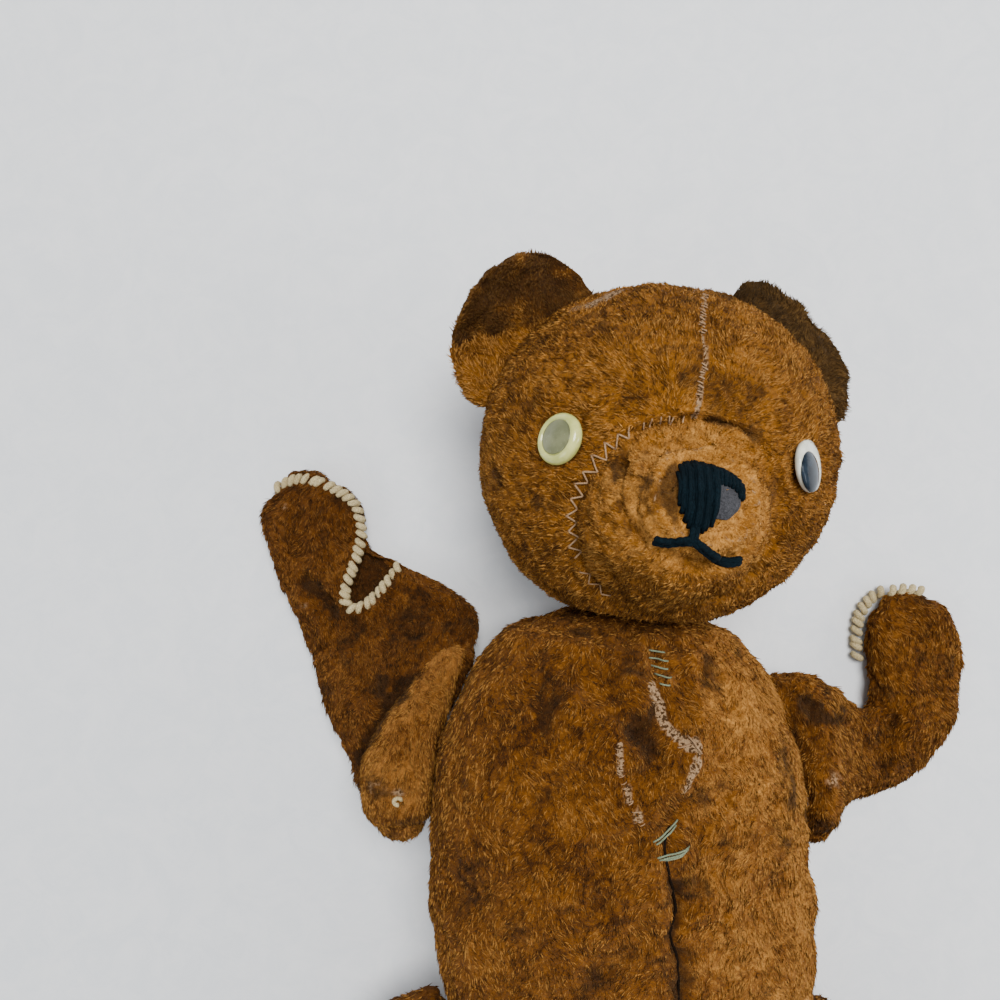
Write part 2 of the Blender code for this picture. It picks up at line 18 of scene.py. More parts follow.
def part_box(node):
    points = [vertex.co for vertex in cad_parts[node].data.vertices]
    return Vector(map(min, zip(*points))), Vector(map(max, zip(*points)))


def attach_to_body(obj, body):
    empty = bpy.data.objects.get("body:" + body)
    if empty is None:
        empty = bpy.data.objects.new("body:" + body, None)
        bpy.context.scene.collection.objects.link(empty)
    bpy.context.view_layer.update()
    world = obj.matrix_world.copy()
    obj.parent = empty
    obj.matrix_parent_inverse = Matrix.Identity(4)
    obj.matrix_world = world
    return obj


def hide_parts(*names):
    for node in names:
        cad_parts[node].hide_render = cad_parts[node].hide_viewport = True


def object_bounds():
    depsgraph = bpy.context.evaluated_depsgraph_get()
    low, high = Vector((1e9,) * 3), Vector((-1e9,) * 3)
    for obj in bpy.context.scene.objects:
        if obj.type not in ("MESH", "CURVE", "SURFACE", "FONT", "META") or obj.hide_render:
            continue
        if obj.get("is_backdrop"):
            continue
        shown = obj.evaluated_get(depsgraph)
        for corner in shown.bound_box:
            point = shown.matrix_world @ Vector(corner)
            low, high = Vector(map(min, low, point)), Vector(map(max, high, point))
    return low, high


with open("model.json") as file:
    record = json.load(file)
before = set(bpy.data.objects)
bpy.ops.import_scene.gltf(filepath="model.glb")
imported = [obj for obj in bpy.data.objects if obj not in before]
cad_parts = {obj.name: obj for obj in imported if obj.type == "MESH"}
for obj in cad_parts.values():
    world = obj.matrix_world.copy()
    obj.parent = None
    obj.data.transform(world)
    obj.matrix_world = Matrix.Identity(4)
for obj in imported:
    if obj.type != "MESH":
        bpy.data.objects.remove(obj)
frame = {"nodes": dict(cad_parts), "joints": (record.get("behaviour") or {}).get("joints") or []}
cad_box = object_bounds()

MM = 0.001
print("box of the frame in mm:", [round(x / MM) for corner in cad_box for x in corner])

# %% [markdown]
# ## Camera, floor and light
# The bear lies face up, and a near camera looks straight down at it. A near camera matters: the muzzle is
# half as far away as the floor, so it looms. One wide soft light from above and a weaker one from the side
# give the gentle shade that shows the nap without hard shadows.

# %% Camera, floor and lights


def aim(thing, place, target):
    """Puts thing at place with its -Z axis towards target."""
    thing.location = place
    thing.rotation_euler = (Vector(target) - Vector(place)).to_track_quat("-Z", "Y").to_euler()
    bpy.context.scene.collection.objects.link(thing)


def make_camera():
    """A 27 mm lens on a 36 mm sensor, 37 cm above the table and looking straight down."""
    lens = bpy.data.cameras.new("camera")
    lens.lens = 27
    lens.sensor_width = 36
    lens.clip_start = 0.01
    camera = bpy.data.objects.new("camera", lens)
    camera.location = (-0.048, 0.150, 0.370)
    bpy.context.scene.collection.objects.link(camera)
    bpy.context.scene.camera = camera


def make_light(name, place, size, watts, colour=(1, 1, 1)):
    """A round area light aimed at the bear's chest."""
    lamp = bpy.data.lights.new(name, "AREA")
    lamp.shape = "DISK"
    lamp.size = size
    lamp.energy = watts
    lamp.color = colour
    aim(bpy.data.objects.new(name, lamp), place, (0, 0.05, 0.04))


make_camera()
make_light("overhead", (0.15, 0.60, 1.5), 0.8, 33, (1.0, 0.985, 0.96))
make_light("side", (-1.1, -0.5, 1.0), 0.8, 4.5, (0.94, 0.97, 1.0))
make_light("low_right", (1.2, 0.0, 0.7), 0.6, 6.5, (1.0, 0.98, 0.95))
world = bpy.data.worlds.new("room")
world.use_nodes = True
world.node_tree.nodes["Background"].inputs["Color"].default_value = (0.86, 0.90, 0.95, 1)
world.node_tree.nodes["Background"].inputs["Strength"].default_value = 0.56
bpy.context.scene.world = world

# %% [markdown]
# ## Finishes as expressions
# A finish is a node tree, and wiring it by hand hides the idea. Here a socket is wrapped in a small class,
# so that `1 - mask * 0.5` adds its own Math nodes, and one method makes any other node. Colours are mixed
# with Mix nodes, since a Math node would turn them grey.

# %% Sockets that do arithmetic


class Value:
    """A socket of a material's tree. An operator on it adds a Math node."""

    def __init__(self, look, socket):
        self.look = look
        self.socket = socket

    def maths(self, operation, first, second):
        return self.look.node("Math", {"operation": operation}, [first, second])

    def __add__(self, other):
        return self.maths("ADD", self, other)

    def __sub__(self, other):
        return self.maths("SUBTRACT", self, other)

    def __rsub__(self, other):
        return self.maths("SUBTRACT", other, self)

    def __mul__(self, other):
        return self.maths("MULTIPLY", self, other)

    def __pow__(self, other):
        return self.maths("POWER", self, other)

    __radd__ = __add__
    __rmul__ = __mul__


class Look:
    """A material under construction. Settings that are the same all over go straight on the shader."""

    def __init__(self, name, **fixed):
        self.material = bpy.data.materials.new(name)
        self.material.use_nodes = True
        self.tree = self.material.node_tree
        self.shader = self.tree.nodes["Principled BSDF"]
        for socket, value in fixed.items():
            self.shader.inputs[socket.replace("_", " ")].default_value = value

    def node(self, kind, settings=None, inputs=(), out=0):
        made = self.tree.nodes.new("ShaderNode" + kind)
        for key, value in (settings or {}).items():
            setattr(made, key, value)
        for key, value in inputs.items() if isinstance(inputs, dict) else enumerate(inputs):
            self.wire(made.inputs[key], value)
        return Value(self, made.outputs[out])

    def wire(self, socket, value):
        if isinstance(value, Value):
            self.tree.links.new(value.socket, socket)
        else:
            socket.default_value = value

    def give(self, **sockets):
        for socket, value in sockets.items():
            self.wire(self.shader.inputs[socket.replace("_", " ")], value)
        return self.material

    def place(self):
        return self.node("TexCoord", out="Object")

    def attribute(self, name):
        return self.node("Attribute", {"attribute_name": name}, out="Fac")

    def noise(self, size, detail=3.0, roughness=0.55, twist=0.0, place=None):
        """Noise whose blobs are about size metres across, from about 0.2 to 0.8."""
        inputs = {"Vector": place or self.place(), "Scale": 1 / size, "Detail": detail}
        inputs.update({"Roughness": roughness, "Distortion": twist})
        return self.node("TexNoise", {"normalize": True}, inputs, out="Fac")

    def mix(self, share, first, second):
        """A colour from first, at share 0, to second, at share 1."""
        colours = [c if isinstance(c, Value) else (*c, 1.0) for c in (first, second)]
        inputs = {0: share, 6: colours[0], 7: colours[1]}
        return self.node("Mix", {"data_type": "RGBA"}, inputs, out=2)

    def step(self, value, low, high):
        """0 below low and 1 above high, smoothly."""
        kind = {"interpolation_type": "SMOOTHSTEP"}
        return self.node("MapRange", kind, {"Value": value, "From Min": low, "From Max": high})

    def bump(self, height, distance, strength=1.0):
        return self.node("Bump", {}, {"Strength": strength, "Distance": distance, "Height": height}, 0)


# %% [markdown]
# ## Worn plush, with painted shade
# Old plush is three things at once: a woven backing, the dyed pile, and the dirt in it. The backing shows
# where an attribute called bare is high. The pile's colour wanders from a foxed orange at the tips to
# almost black where it's matted, over blobs of 3 cm, 8 mm and 1 mm, and a second attribute,
# grime_and_shade, darkens chosen places: with real dirt, and with painted shade in the seam's valley, dents,
# creases, folds, partings and the paw's notch. The tufts share the finish, and a third attribute, tint, sets
# each tuft a little apart; it also carries painted light on the bear's left side and a painted highlight on
# the right shoulder's pad.

# %% Plush


def make_plush(name, deep, middle, tip, stain_and_shade):
    """Plush whose colour runs from deep through middle to tip, with stained patches and painted shade."""
    look = Look(name, Roughness=0.95, Sheen_Weight=0.05, Sheen_Roughness=0.4)
    look.shader.inputs["Specular IOR Level"].default_value = 0.08
    look.shader.inputs["Sheen Tint"].default_value = (1.0, 0.74, 0.45, 1.0)
    place = look.place()
    broad = look.noise(0.030, 3, 0.6, 0.6, place)
    patchy = look.noise(0.0075, 5, 0.68, 1.6, place)
    fine = look.noise(0.0012, 3, 0.7, 2.0, place)
    tint = look.attribute("tint")
    grime_and_shade = look.attribute("grime_and_shade")
    bare = look.attribute("bare")
    lightness = broad * 0.6 + patchy * 1.3 + fine * 1.0 + tint * 0.85 - 1.42
    colour = look.mix(look.step(lightness, -0.05, 0.40), deep, middle)
    colour = look.mix(look.step(lightness, 0.34, 0.92), colour, tip)
    # This darkening is real dirt in blotches, and painted shade in the seam's valley, dents, creases, folds,
    # partings and the paw's notch; where it is strongest the colour goes near black.
    soiled = look.noise(0.011, 6, 0.74, 1.2, place) * 0.8 + grime_and_shade * 0.5 - fine * 0.2
    colour = look.mix(look.step(soiled, 0.40, 0.78) * 0.62, colour, stain_and_shade)
    colour = look.mix(look.step(grime_and_shade, 0.6, 1.0) * 0.5, colour, (0.014, 0.007, 0.0035))
    mesh = look.step(look.noise(0.0010, 1, 0.5, 0.3, place), 0.40, 0.54)
    backing = look.mix(mesh, (0.07, 0.034, 0.013), (0.42, 0.265, 0.145))
    colour = look.mix(look.step(bare + fine * 0.3 - 0.15, 0.35, 0.75), colour, backing)
    nap = look.noise(0.0008, 3, 0.75, 2.0, place)
    clump = look.noise(0.0034, 4, 0.65, 2.0, place)
    relief = look.bump(nap * 0.5 + clump, 0.0016, 0.9)
    return look.give(Base_Color=colour, Normal=relief)


FOX = make_plush("plush", (0.040, 0.0115, 0.0012), (0.172, 0.058, 0.0060),
                 (0.56, 0.255, 0.055), (0.026, 0.0085, 0.0018))
GOLD = make_plush("face_plush", (0.064, 0.0205, 0.0020), (0.250, 0.092, 0.0090),
                  (0.66, 0.310, 0.070), (0.040, 0.0135, 0.0025))
UMBER = make_plush("limb_plush", (0.028, 0.0085, 0.0010), (0.112, 0.036, 0.0042),
                   (0.36, 0.150, 0.030), (0.017, 0.0060, 0.0014))
OLIVE = make_plush("ear_plush", (0.022, 0.0100, 0.0022), (0.085, 0.040, 0.0085),
                   (0.23, 0.120, 0.034), (0.015, 0.0068, 0.0020))
print("plush finishes:", len(bpy.data.materials))

# %% [markdown]
# ## Yarn, wool, felt and gloss
# Thread and yarn get a fine streak along the fibres through noise and a bump. The eyes are the only
# glossy things on the bear, so their coat is clear and their colour varies slightly, as old plastic does.

# %% The small finishes


def make_fibre(name, dark, light, size=0.0005, roughness=0.85, sheen=0.15, shine=0.25):
    """Thread or felt: fine hairs of noise between dark and light, soiled in 6 mm clouds."""
    look = Look(name, Roughness=roughness, Sheen_Weight=sheen)
    look.shader.inputs["Specular IOR Level"].default_value = shine
    hairs = look.noise(size, 3, 0.7, 1.0)
    soil = look.step(look.noise(0.006, 2, 0.5, 0.0), 0.45, 0.75)
    colour = look.mix(look.step(hairs, 0.3, 0.7), dark, light)
    colour = look.mix(soil * 0.35, colour, dark)
    return look.give(Base_Color=colour, Normal=look.bump(hairs, 0.0004, 0.8))


def make_gloss(name, inner, outer, size=0.004, roughness=0.16, coat=0.35, shine=0.5):
    """Old plastic: a slow cloud from inner to outer, with scratches in its roughness and bump."""
    look = Look(name, Roughness=roughness, Coat_Weight=coat, Coat_Roughness=0.08, Specular_IOR_Level=shine)
    cloud = look.noise(size, 3, 0.5, 0.2)
    scratches = look.noise(0.0009, 4, 0.7, 0.0)
    colour = look.mix(look.step(cloud, 0.3, 0.7), inner, outer)
    worn = look.step(scratches, 0.55, 0.8) * 0.22 + roughness
    return look.give(Base_Color=colour, Roughness=worn, Normal=look.bump(scratches, 0.00004, 0.25))


def make_metal(name, dark, light):
    """Brushed wire with rust spots about 2 mm across, rougher than the rest."""
    look = Look(name, Metallic=1.0)
    brushed = look.noise(0.0008, 4, 0.7, 0.3)
    spots = look.step(look.noise(0.002, 3, 0.6), 0.55, 0.7)
    colour = look.mix(spots * 0.8, look.mix(brushed, dark, light), (0.10, 0.045, 0.02))
    return look.give(Base_Color=colour, Roughness=spots * 0.4 + 0.35)


CREAM = make_fibre("cream_yarn", (0.27, 0.19, 0.075), (0.70, 0.59, 0.34), sheen=0.05)
INK = make_fibre("nose_wool", (0.0006, 0.0022, 0.0034), (0.0034, 0.0120, 0.0180), sheen=0.0, shine=0.07)
GREEN = make_fibre("repair_thread", (0.09, 0.115, 0.065), (0.29, 0.34, 0.22), 0.0003, sheen=0.0)
TAN = make_fibre("seam_thread", (0.24, 0.13, 0.06), (0.50, 0.33, 0.19), 0.0003, sheen=0.0)
# Near-black thread for the closing seam: partly the dark thread, partly painted shade of the seam's gap.
SEAM_THREAD_AND_SHADE = make_fibre("seam_thread_and_shade", (0.003, 0.0015, 0.0008), (0.014, 0.007, 0.003), 0.0004, sheen=0.0, shine=0.1)
FELT = make_fibre("grey_felt", (0.016, 0.017, 0.020), (0.062, 0.062, 0.070), 0.0006, sheen=0.05, shine=0.1)
PALE = make_fibre("tabletop", (0.79, 0.815, 0.845), (0.85, 0.865, 0.885), 0.02)
PAD = make_fibre("pad_felt", (0.16, 0.085, 0.035), (0.34, 0.20, 0.095), 0.0008)
BOARD = make_fibre("hardboard", (0.12, 0.065, 0.03), (0.30, 0.18, 0.10), 0.0007, 0.8)
LIME = make_gloss("button_plastic", (0.43, 0.45, 0.12), (0.59, 0.60, 0.20))
# The right eye's sunk dish is coloured darker than its rim: a painted dark reflection.
DISH_DARK_REFLECTION = make_gloss("button_dish_dark_reflection", (0.13, 0.138, 0.065), (0.185, 0.192, 0.095), roughness=0.22)
CHINA = make_gloss("eye_white", (0.56, 0.57, 0.46), (0.76, 0.76, 0.64))
JET = make_gloss("eye_black", (0.006, 0.009, 0.014), (0.018, 0.030, 0.045), roughness=0.1, coat=0.0,
                 shine=0.16)
STEEL = make_metal("pin_steel", (0.32, 0.30, 0.27), (0.56, 0.54, 0.50))

# %% [markdown]
# ## Noise and soft steps for shapes
# The same idea as in a shader, but worked out with numpy on whole arrays of points, so that dents,
# lumps and wear can be evaluated wherever a surface or a tuft needs them.

# %% Fields


def soft(low, high, x):
    """0 below low, 1 above high, and 3t^2 - 2t^3 between them."""
    t = np.clip((x - low) / (high - low), 0, 1)
    return t * t * (3 - 2 * t)


def lattice(cells, seed):
    """A repeatable number from 0 to 1 for each whole-number place, by mixing its bits."""
    n = cells[..., 0] * 73856093 ^ cells[..., 1] * 19349663 ^ cells[..., 2] * 83492791 ^ seed * 7919
    n = (n ^ (n >> 13)) * 1274126177 & 0x7FFFFFFF
    return ((n ^ (n >> 15)) & 0xFFFF) / 65535.0


def noise(points, size, seed=0):
    """Value noise from -1 to 1: lattice numbers size apart, blended with soft steps."""
    p = np.asarray(points) / size
    cell = np.floor(p)
    f = p - cell
    f = f * f * (3 - 2 * f)
    cell = cell.astype(np.int64)
    total = 0
    for corner in np.ndindex(2, 2, 2):
        weight = np.prod(np.where(np.array(corner) == 1, f, 1 - f), axis=-1)
        total = total + weight * lattice(cell + np.array(corner), seed)
    return 2 * total - 1


def clouds(points, size, seed=0, octaves=3):
    """Noise with half-size, half-strength copies of itself added."""
    layers = [noise(points, size / 2**k, seed + k) / 2**k for k in range(octaves)]
    return sum(layers)


def partings(points, size, seed, stretch=(1.0, 0.42, 1.0)):
    """1 along thin wandering lines where matted pile parts: where stretched, warped noise crosses zero."""
    warp = np.stack([noise(points, 3.2 * size, seed + k) for k in (1, 2, 3)], -1) * size * 1.3
    place = (points + warp) * np.array(stretch)
    crossing = noise(place, size, seed) + 0.45 * noise(place, size / 2, seed + 4)
    return np.exp(-((crossing / 0.17) ** 2))


def off_line(points, line):
    """How far each point is from a polyline, over the first two axes, and how far along it, 0 to 1."""
    line = np.asarray(line, float)
    spans = np.linalg.norm(np.diff(line, axis=0), axis=1)
    best = np.full(points.shape[:-1], 1e9)
    along = np.zeros(points.shape[:-1])
    for k, (a, b) in enumerate(zip(line, line[1:])):
        d = b - a
        t = np.clip(((points[..., :2] - a) @ d) / (d @ d), 0, 1)
        far = np.linalg.norm(points[..., :2] - a - t[..., None] * d, axis=-1)
        nearer = far < best
        best = np.where(nearer, far, best)
        along = np.where(nearer, (spans[:k].sum() + t * spans[k]) / spans.sum(), along)
    return best, along


def trace(points, per=8):
    """A smooth line through points, by Catmull-Rom segments of per steps."""
    p = np.asarray(points, float)
    p = np.vstack([2 * p[0] - p[1], p, 2 * p[-1] - p[-2]])
    t = np.linspace(0, 1, per, endpoint=False)[:, None]
    runs = []
    for a, b, c, d in zip(p, p[1:], p[2:], p[3:]):
        runs.append(0.5 * (2 * b + (c - a) * t + (2 * a - 5 * b + 4 * c - d) * t**2
                           + (3 * b - a - 3 * c + d) * t**3))
    return np.vstack([*runs, p[-2]])


# %% [markdown]
# ## Closed skins from grids
# A cover is a grid of points: rows run from one pole to the other and columns run round. The first and
# last rows are single points, so the skin is closed. Keeping the grid, and not only the mesh, lets the
# later steps find normals, scatter tufts and upsample a simulation by plain array work.

# %% Skins


def grid_faces(rows, cols):
    """Quads between full rows and triangles to the poles. Point 0 is the first pole."""
    r, c = np.meshgrid(np.arange(rows - 3), np.arange(cols), indexing="ij")
    a = 1 + r * cols + c
    b = 1 + r * cols + (c + 1) % cols
    quads = np.stack([a, b, b + cols, a + cols], -1).reshape(-1, 4)
    c = np.arange(cols)
    n = (c + 1) % cols
    last = 1 + (rows - 3) * cols
    first_fan = np.stack([np.zeros(cols, int), 1 + n, 1 + c], -1)
    last_fan = np.stack([np.full(cols, last + cols), last + c, last + n], -1)
    return quads, np.vstack([first_fan, last_fan])


def flat_points(grid):
    """The grid's points in one list, with each pole once."""
    return np.vstack([grid[0, :1], grid[1:-1].reshape(-1, grid.shape[2]), grid[-1, :1]])


def volume(points, triangles):
    """The signed volume inside triangles: a sixth of the sum of a . (b x c)."""
    a, b, c = (points[triangles[:, k]] for k in range(3))
    return (a * np.cross(b, c)).sum() / 6


def make_mesh(name, points, faces, material):
    """An object at the origin whose place is in its mesh. faces is a list of index arrays."""
    mesh = bpy.data.meshes.new(name)
    mesh.from_pydata(np.asarray(points).tolist(), [], [f for group in faces for f in group.tolist()])
    mesh.materials.append(material)
    mesh.shade_smooth()
    thing = bpy.data.objects.new(name, mesh)
    bpy.context.scene.collection.objects.link(thing)
    return thing


def attach(thing, name, values):
    """Stores a number for each point, which materials read by name."""
    layer = thing.data.attributes.new(name, "FLOAT", "POINT")
    layer.data.foreach_set("value", np.ascontiguousarray(values, dtype=np.float32).ravel())


def outward(grid):
    """The grid with its columns run the way that makes its faces point out."""
    quads, fans = grid_faces(*grid.shape[:2])
    triangles = np.vstack([quads[:, [0, 1, 2]], quads[:, [0, 2, 3]], fans])
    points = flat_points(grid)
    middle = points.mean(0)
    return grid if volume(points - middle, triangles) > 0 else grid[:, ::-1]


TINT = 0.28


def skin(name, grid, material, bare=None, grime_and_shade=None, tint=None):
    """A closed mesh of a grid, with its wear, painted shade and tint stored for the finish."""
    quads, fans = grid_faces(*grid.shape[:2])
    thing = make_mesh(name, flat_points(grid), [quads, fans], material)
    for key, field in (("bare", bare), ("grime_and_shade", grime_and_shade)):
        if field is not None:
            attach(thing, key, flat_points(field[..., None]))
    tint = np.full(grid.shape[:2], TINT) if tint is None else tint
    attach(thing, "tint", flat_points(tint[..., None]))
    return thing


def normals(grid):
    """Unit normals of an outward grid, from the differences along its rows and columns."""
    across = np.roll(grid, -1, 1) - np.roll(grid, 1, 1)
    along = np.gradient(grid, axis=0)
    n = np.cross(across, along)
    size = np.linalg.norm(n, axis=-1, keepdims=True)
    n = n / np.maximum(size, 1e-12)
    n[0] = n[1].mean(0) / np.linalg.norm(n[1].mean(0))
    n[-1] = n[-2].mean(0) / np.linalg.norm(n[-2].mean(0))
    return n


# %% [markdown]
# ## Padding by cloth simulation
# A stuffed cover is cloth under pressure. A coarse copy of the grid becomes a Cloth object that is a few
# per cent slacker than its form and is pinned along its seams, so pressing from inside swells it between
# the seams and puckers it beside them. The movement is capped, and then spread back over the fine grid.

# %% Cloth


def simulate(coarse, pinned, slack, frames=20):
    """The coarse grid's movement under pressure 4 with no gravity; pinned points hold still."""
    blank = bpy.data.materials.new("cloth_blank")
    cloth = skin("cloth_form", coarse, blank)
    group = cloth.vertex_groups.new(name="seams")
    held = np.flatnonzero(flat_points(pinned[..., None])[:, 0] > 0.5)
    group.add(held.tolist(), 1.0, "REPLACE")
    step = cloth.modifiers.new("cloth", "CLOTH")
    step.settings.quality = 5
    step.settings.mass = 0.25
    step.settings.tension_stiffness = 12
    step.settings.compression_stiffness = 12
    step.settings.bending_stiffness = 0.3
    step.settings.use_pressure = True
    step.settings.uniform_pressure_force = 4
    step.settings.shrink_min = -slack
    step.settings.vertex_group_mass = "seams"
    step.settings.effector_weights.gravity = 0
    step.point_cache.frame_end = frames
    for number in range(1, frames + 1):
        bpy.context.scene.frame_set(number)
    shown = cloth.evaluated_get(bpy.context.evaluated_depsgraph_get()).to_mesh()
    after = np.zeros(len(shown.vertices) * 3)
    shown.vertices.foreach_get("co", after)
    moved = after.reshape(-1, 3) - flat_points(coarse)
    bpy.context.scene.frame_set(1)
    bpy.data.objects.remove(cloth)
    bpy.data.materials.remove(blank)
    rows, cols = coarse.shape[:2]
    body = moved[1:-1].reshape(rows - 2, cols, 3)
    return np.concatenate([np.repeat(moved[:1], cols, 0)[None], body, np.repeat(moved[-1:], cols, 0)[None]])


def upsample(field, rows, cols):
    """Spreads a coarse grid over a finer one: straight between rows, and round between columns."""
    old_rows, old_cols = field.shape[:2]
    r = np.linspace(0, old_rows - 1, rows)
    c = np.arange(cols) * old_cols / cols
    r0 = np.minimum(r.astype(int), old_rows - 2)
    c0 = c.astype(int)
    fr = soft(0, 1, r - r0)[:, None, None]
    fc = soft(0, 1, c - c0)[None, :, None]
    left = field[r0][:, c0] * (1 - fr) + field[r0 + 1][:, c0] * fr
    right = field[r0][:, (c0 + 1) % old_cols] * (1 - fr) + field[r0 + 1][:, (c0 + 1) % old_cols] * fr
    return left * (1 - fc) + right * fc


EVERY = 5  # rows and columns of a fine grid to one of its coarse copy


def puffed(grid, pinned, slack, cap):
    """The grid after the simulation, no point more than cap from where it started."""
    coarse = grid[::EVERY, ::EVERY]
    moved = simulate(coarse, pinned[::EVERY, ::EVERY], slack)
    far = np.linalg.norm(moved, axis=-1, keepdims=True)
    moved = moved * np.minimum(1, cap / np.maximum(far, 1e-9))
    moved = np.nan_to_num(moved)
    print("  cloth moved", round(float(far.max()) / MM, 1), "mm at most, kept to", round(cap / MM, 1))
    return grid + upsample(moved, *grid.shape[:2])


# %% [markdown]
# ## Pile
# A tuft is a thin closed spike: three corners on the cloth and one at its tip, four faces in all, so tens
# of thousands can be afforded. Each leans along a flow that swirls over the cover, which is what makes
# matted plush catch the light in streaks. Bare places get none.

# %% Tufts


def scatter(grid, field, count, weight, seed):
    """Random places on a grid, more where weight is high: places, normals and the field's values there."""
    rng = np.random.default_rng(seed)
    a, b = grid[:-1], grid[1:]
    across = np.roll(a, -1, 1) - a
    area = np.linalg.norm(np.cross(across, b - a), axis=-1) * np.maximum(weight[:-1], 0)
    pick = rng.choice(area.size, count, p=(area / area.sum()).ravel())
    r, c = np.unravel_index(pick, area.shape)
    u, v = rng.random((2, count))
    corners = [(r, c, (1 - u) * (1 - v)), (r, (c + 1) % grid.shape[1], u * (1 - v))]
    corners += [(r + 1, c, (1 - u) * v), (r + 1, (c + 1) % grid.shape[1], u * v)]

    def blend(values):
        return sum(values[i, j] * (w[:, None] if values.ndim == 3 else w) for i, j, w in corners)

    n = blend(normals(grid))
    return blend(grid), n / np.linalg.norm(n, axis=1, keepdims=True), [blend(f) for f in field]


def swirl(points, base, turn, size, seed):
    """Flow directions: base turned about the view axis by up to turn, in swirls about size across."""
    angle = turn * clouds(points, size, seed, 2)
    c, s = np.cos(angle), np.sin(angle)
    x = c * base[..., 0] - s * base[..., 1]
    y = s * base[..., 0] + c * base[..., 1]
    return np.stack([x, y, base[..., 2] + 0.2 * noise(points, size, seed + 9)], -1)


def plant(name, roots, up, flow, length, width, lean, material, seed, grime_and_shade, bare, brighter=0.0):
    """Spikes at roots. Each tip is length away, along the flow laid into the surface and raised by lean."""
    rng = np.random.default_rng(seed)
    count = len(roots)
    flow = flow - (flow * up).sum(1, keepdims=True) * up
    flow /= np.maximum(np.linalg.norm(flow, axis=1, keepdims=True), 1e-9)
    flow = flow + 0.30 * rng.normal(size=(count, 3))
    flow -= (flow * up).sum(1, keepdims=True) * up
    flow /= np.maximum(np.linalg.norm(flow, axis=1, keepdims=True), 1e-9)
    side = np.cross(up, flow)
    size = length * rng.uniform(0.65, 1.25, count)
    rise = lean * rng.uniform(0.6, 1.4, count)
    tip = roots + flow * (size * np.cos(rise))[:, None] + up * (size * np.sin(rise))[:, None]
    half = (width * rng.uniform(0.7, 1.3, count))[:, None] / 2
    sunk = roots - up * (0.25 * MM)
    left = sunk + side * half + flow * half * 0.5
    right = sunk - side * half + flow * half * 0.5
    crest = roots + up * half * 1.1
    points = np.stack([left, right, crest - flow * half * 0.4, tip], 1)
    sides = np.array([[0, 1, 2], [0, 3, 1], [1, 3, 2], [2, 3, 0]])
    faces = np.vstack([np.arange(count)[:, None] * 4 + corners for corners in sides])
    if volume(points[0] - points[0].mean(0), sides) < 0:
        faces = faces[:, ::-1]
    points[..., 2] = np.maximum(points[..., 2], 0.1 * MM)
    thing = make_mesh(name, points.reshape(-1, 3), [faces], material)
    tint = np.repeat(rng.uniform(0, 1, count) + brighter, 4).reshape(-1, 4)
    tint[:, 3] = np.clip(tint[:, 3] + 0.25, 0, 1)
    attach(thing, "tint", tint)
    attach(thing, "grime_and_shade", np.repeat(grime_and_shade, 4))
    attach(thing, "bare", np.repeat(bare, 4))
    return thing


# %% [markdown]
# ## Strands
# Seams, stitches and yarn are tubes carried along a path. A strand of yarn isn't round: its plies make a
# two- or three-lobed section that turns along it, which gives the rope look for only a few faces more.

# %% Tubes


def unit(v):
    """v divided by its length."""
    return v / np.maximum(np.linalg.norm(v, axis=-1, keepdims=True), 1e-12)


def tube(path, radius, sides=7, plies=0, turns=0.0, depth=0.2):
    """The grid of a tube along path. With plies, its section has that many lobes, which twist by turns."""
    path = np.asarray(path, float)
    along = unit(np.gradient(path, axis=0))
    up = np.array([0.13, 0.07, 0.99])
    side = unit(np.cross(along, up))
    top = np.cross(side, along)
    angle = np.linspace(0, math.tau, sides, endpoint=False)
    share = np.linspace(0, 1, len(path))[:, None]
    size = np.broadcast_to(np.asarray(radius, float).reshape(-1, 1), (len(path), 1))
    if plies:
        size = size * (1 - depth + depth * np.abs(np.cos(plies * angle / 2 + math.pi * turns * share)))
    ring = side[:, None] * np.cos(angle)[None, :, None] + top[:, None] * np.sin(angle)[None, :, None]
    body = path[:, None] + ring * (size * np.ones(sides))[..., None]
    first = np.repeat(path[None, :1] - along[:1] * size[0].mean() * 0.5, sides, 1)
    last = np.repeat(path[None, -1:] + along[-1:] * size[-1].mean() * 0.5, sides, 1)
    return outward(np.concatenate([first, body, last]))


def join_grids(name, grids, material):
    """One mesh of many closed grids, such as a row of stitches."""
    points, faces, start = [], [], 0
    for grid in grids:
        quads, fans = grid_faces(*grid.shape[:2])
        flat = flat_points(grid)
        points.append(flat)
        faces += [quads + start, fans + start]
        start += len(flat)
    return make_mesh(name, np.vstack(points), faces, material)


def tree_of(*things):
    """Something to drop points on: the surface of several pieces together."""
    points, faces, start = [], [], 0
    for thing in things:
        mesh = thing.data
        co = np.zeros(len(mesh.vertices) * 3)
        mesh.vertices.foreach_get("co", co)
        mesh.calc_loop_triangles()
        tri = np.zeros(len(mesh.loop_triangles) * 3, int)
        mesh.loop_triangles.foreach_get("vertices", tri)
        points.append(co.reshape(-1, 3))
        faces.append(tri.reshape(-1, 3) + start)
        start += len(mesh.vertices)
    return BVHTree.FromPolygons(np.vstack(points).tolist(), np.vstack(faces).tolist())


def dropped(tree, places, lift, from_z=0.3):
    """The points of the surface straight under places, raised by lift."""
    out = []
    for x, y in np.asarray(places)[:, :2]:
        hit = tree.ray_cast(Vector((x, y, from_z)), Vector((0, 0, -1)))
        out.append(np.array(hit[0]) + np.array([0, 0, lift]) if hit[0] else np.array([x, y, lift]))
    return np.array(out)


# %% [markdown]
# ## Torso
# The torso is a rounded tube of plush, closed down the front by hand. Its outline is a superellipse, as
# in the frame: one minus the share along it to a power gives each section's size. The back is flat where
# it rests, and the top is cut by the plane that the head turns on. The wear is the character of it: a
# closing seam that has pulled into a dark valley, strips rubbed down to the backing, and dents over lost
# wadding.

# %% Torso form

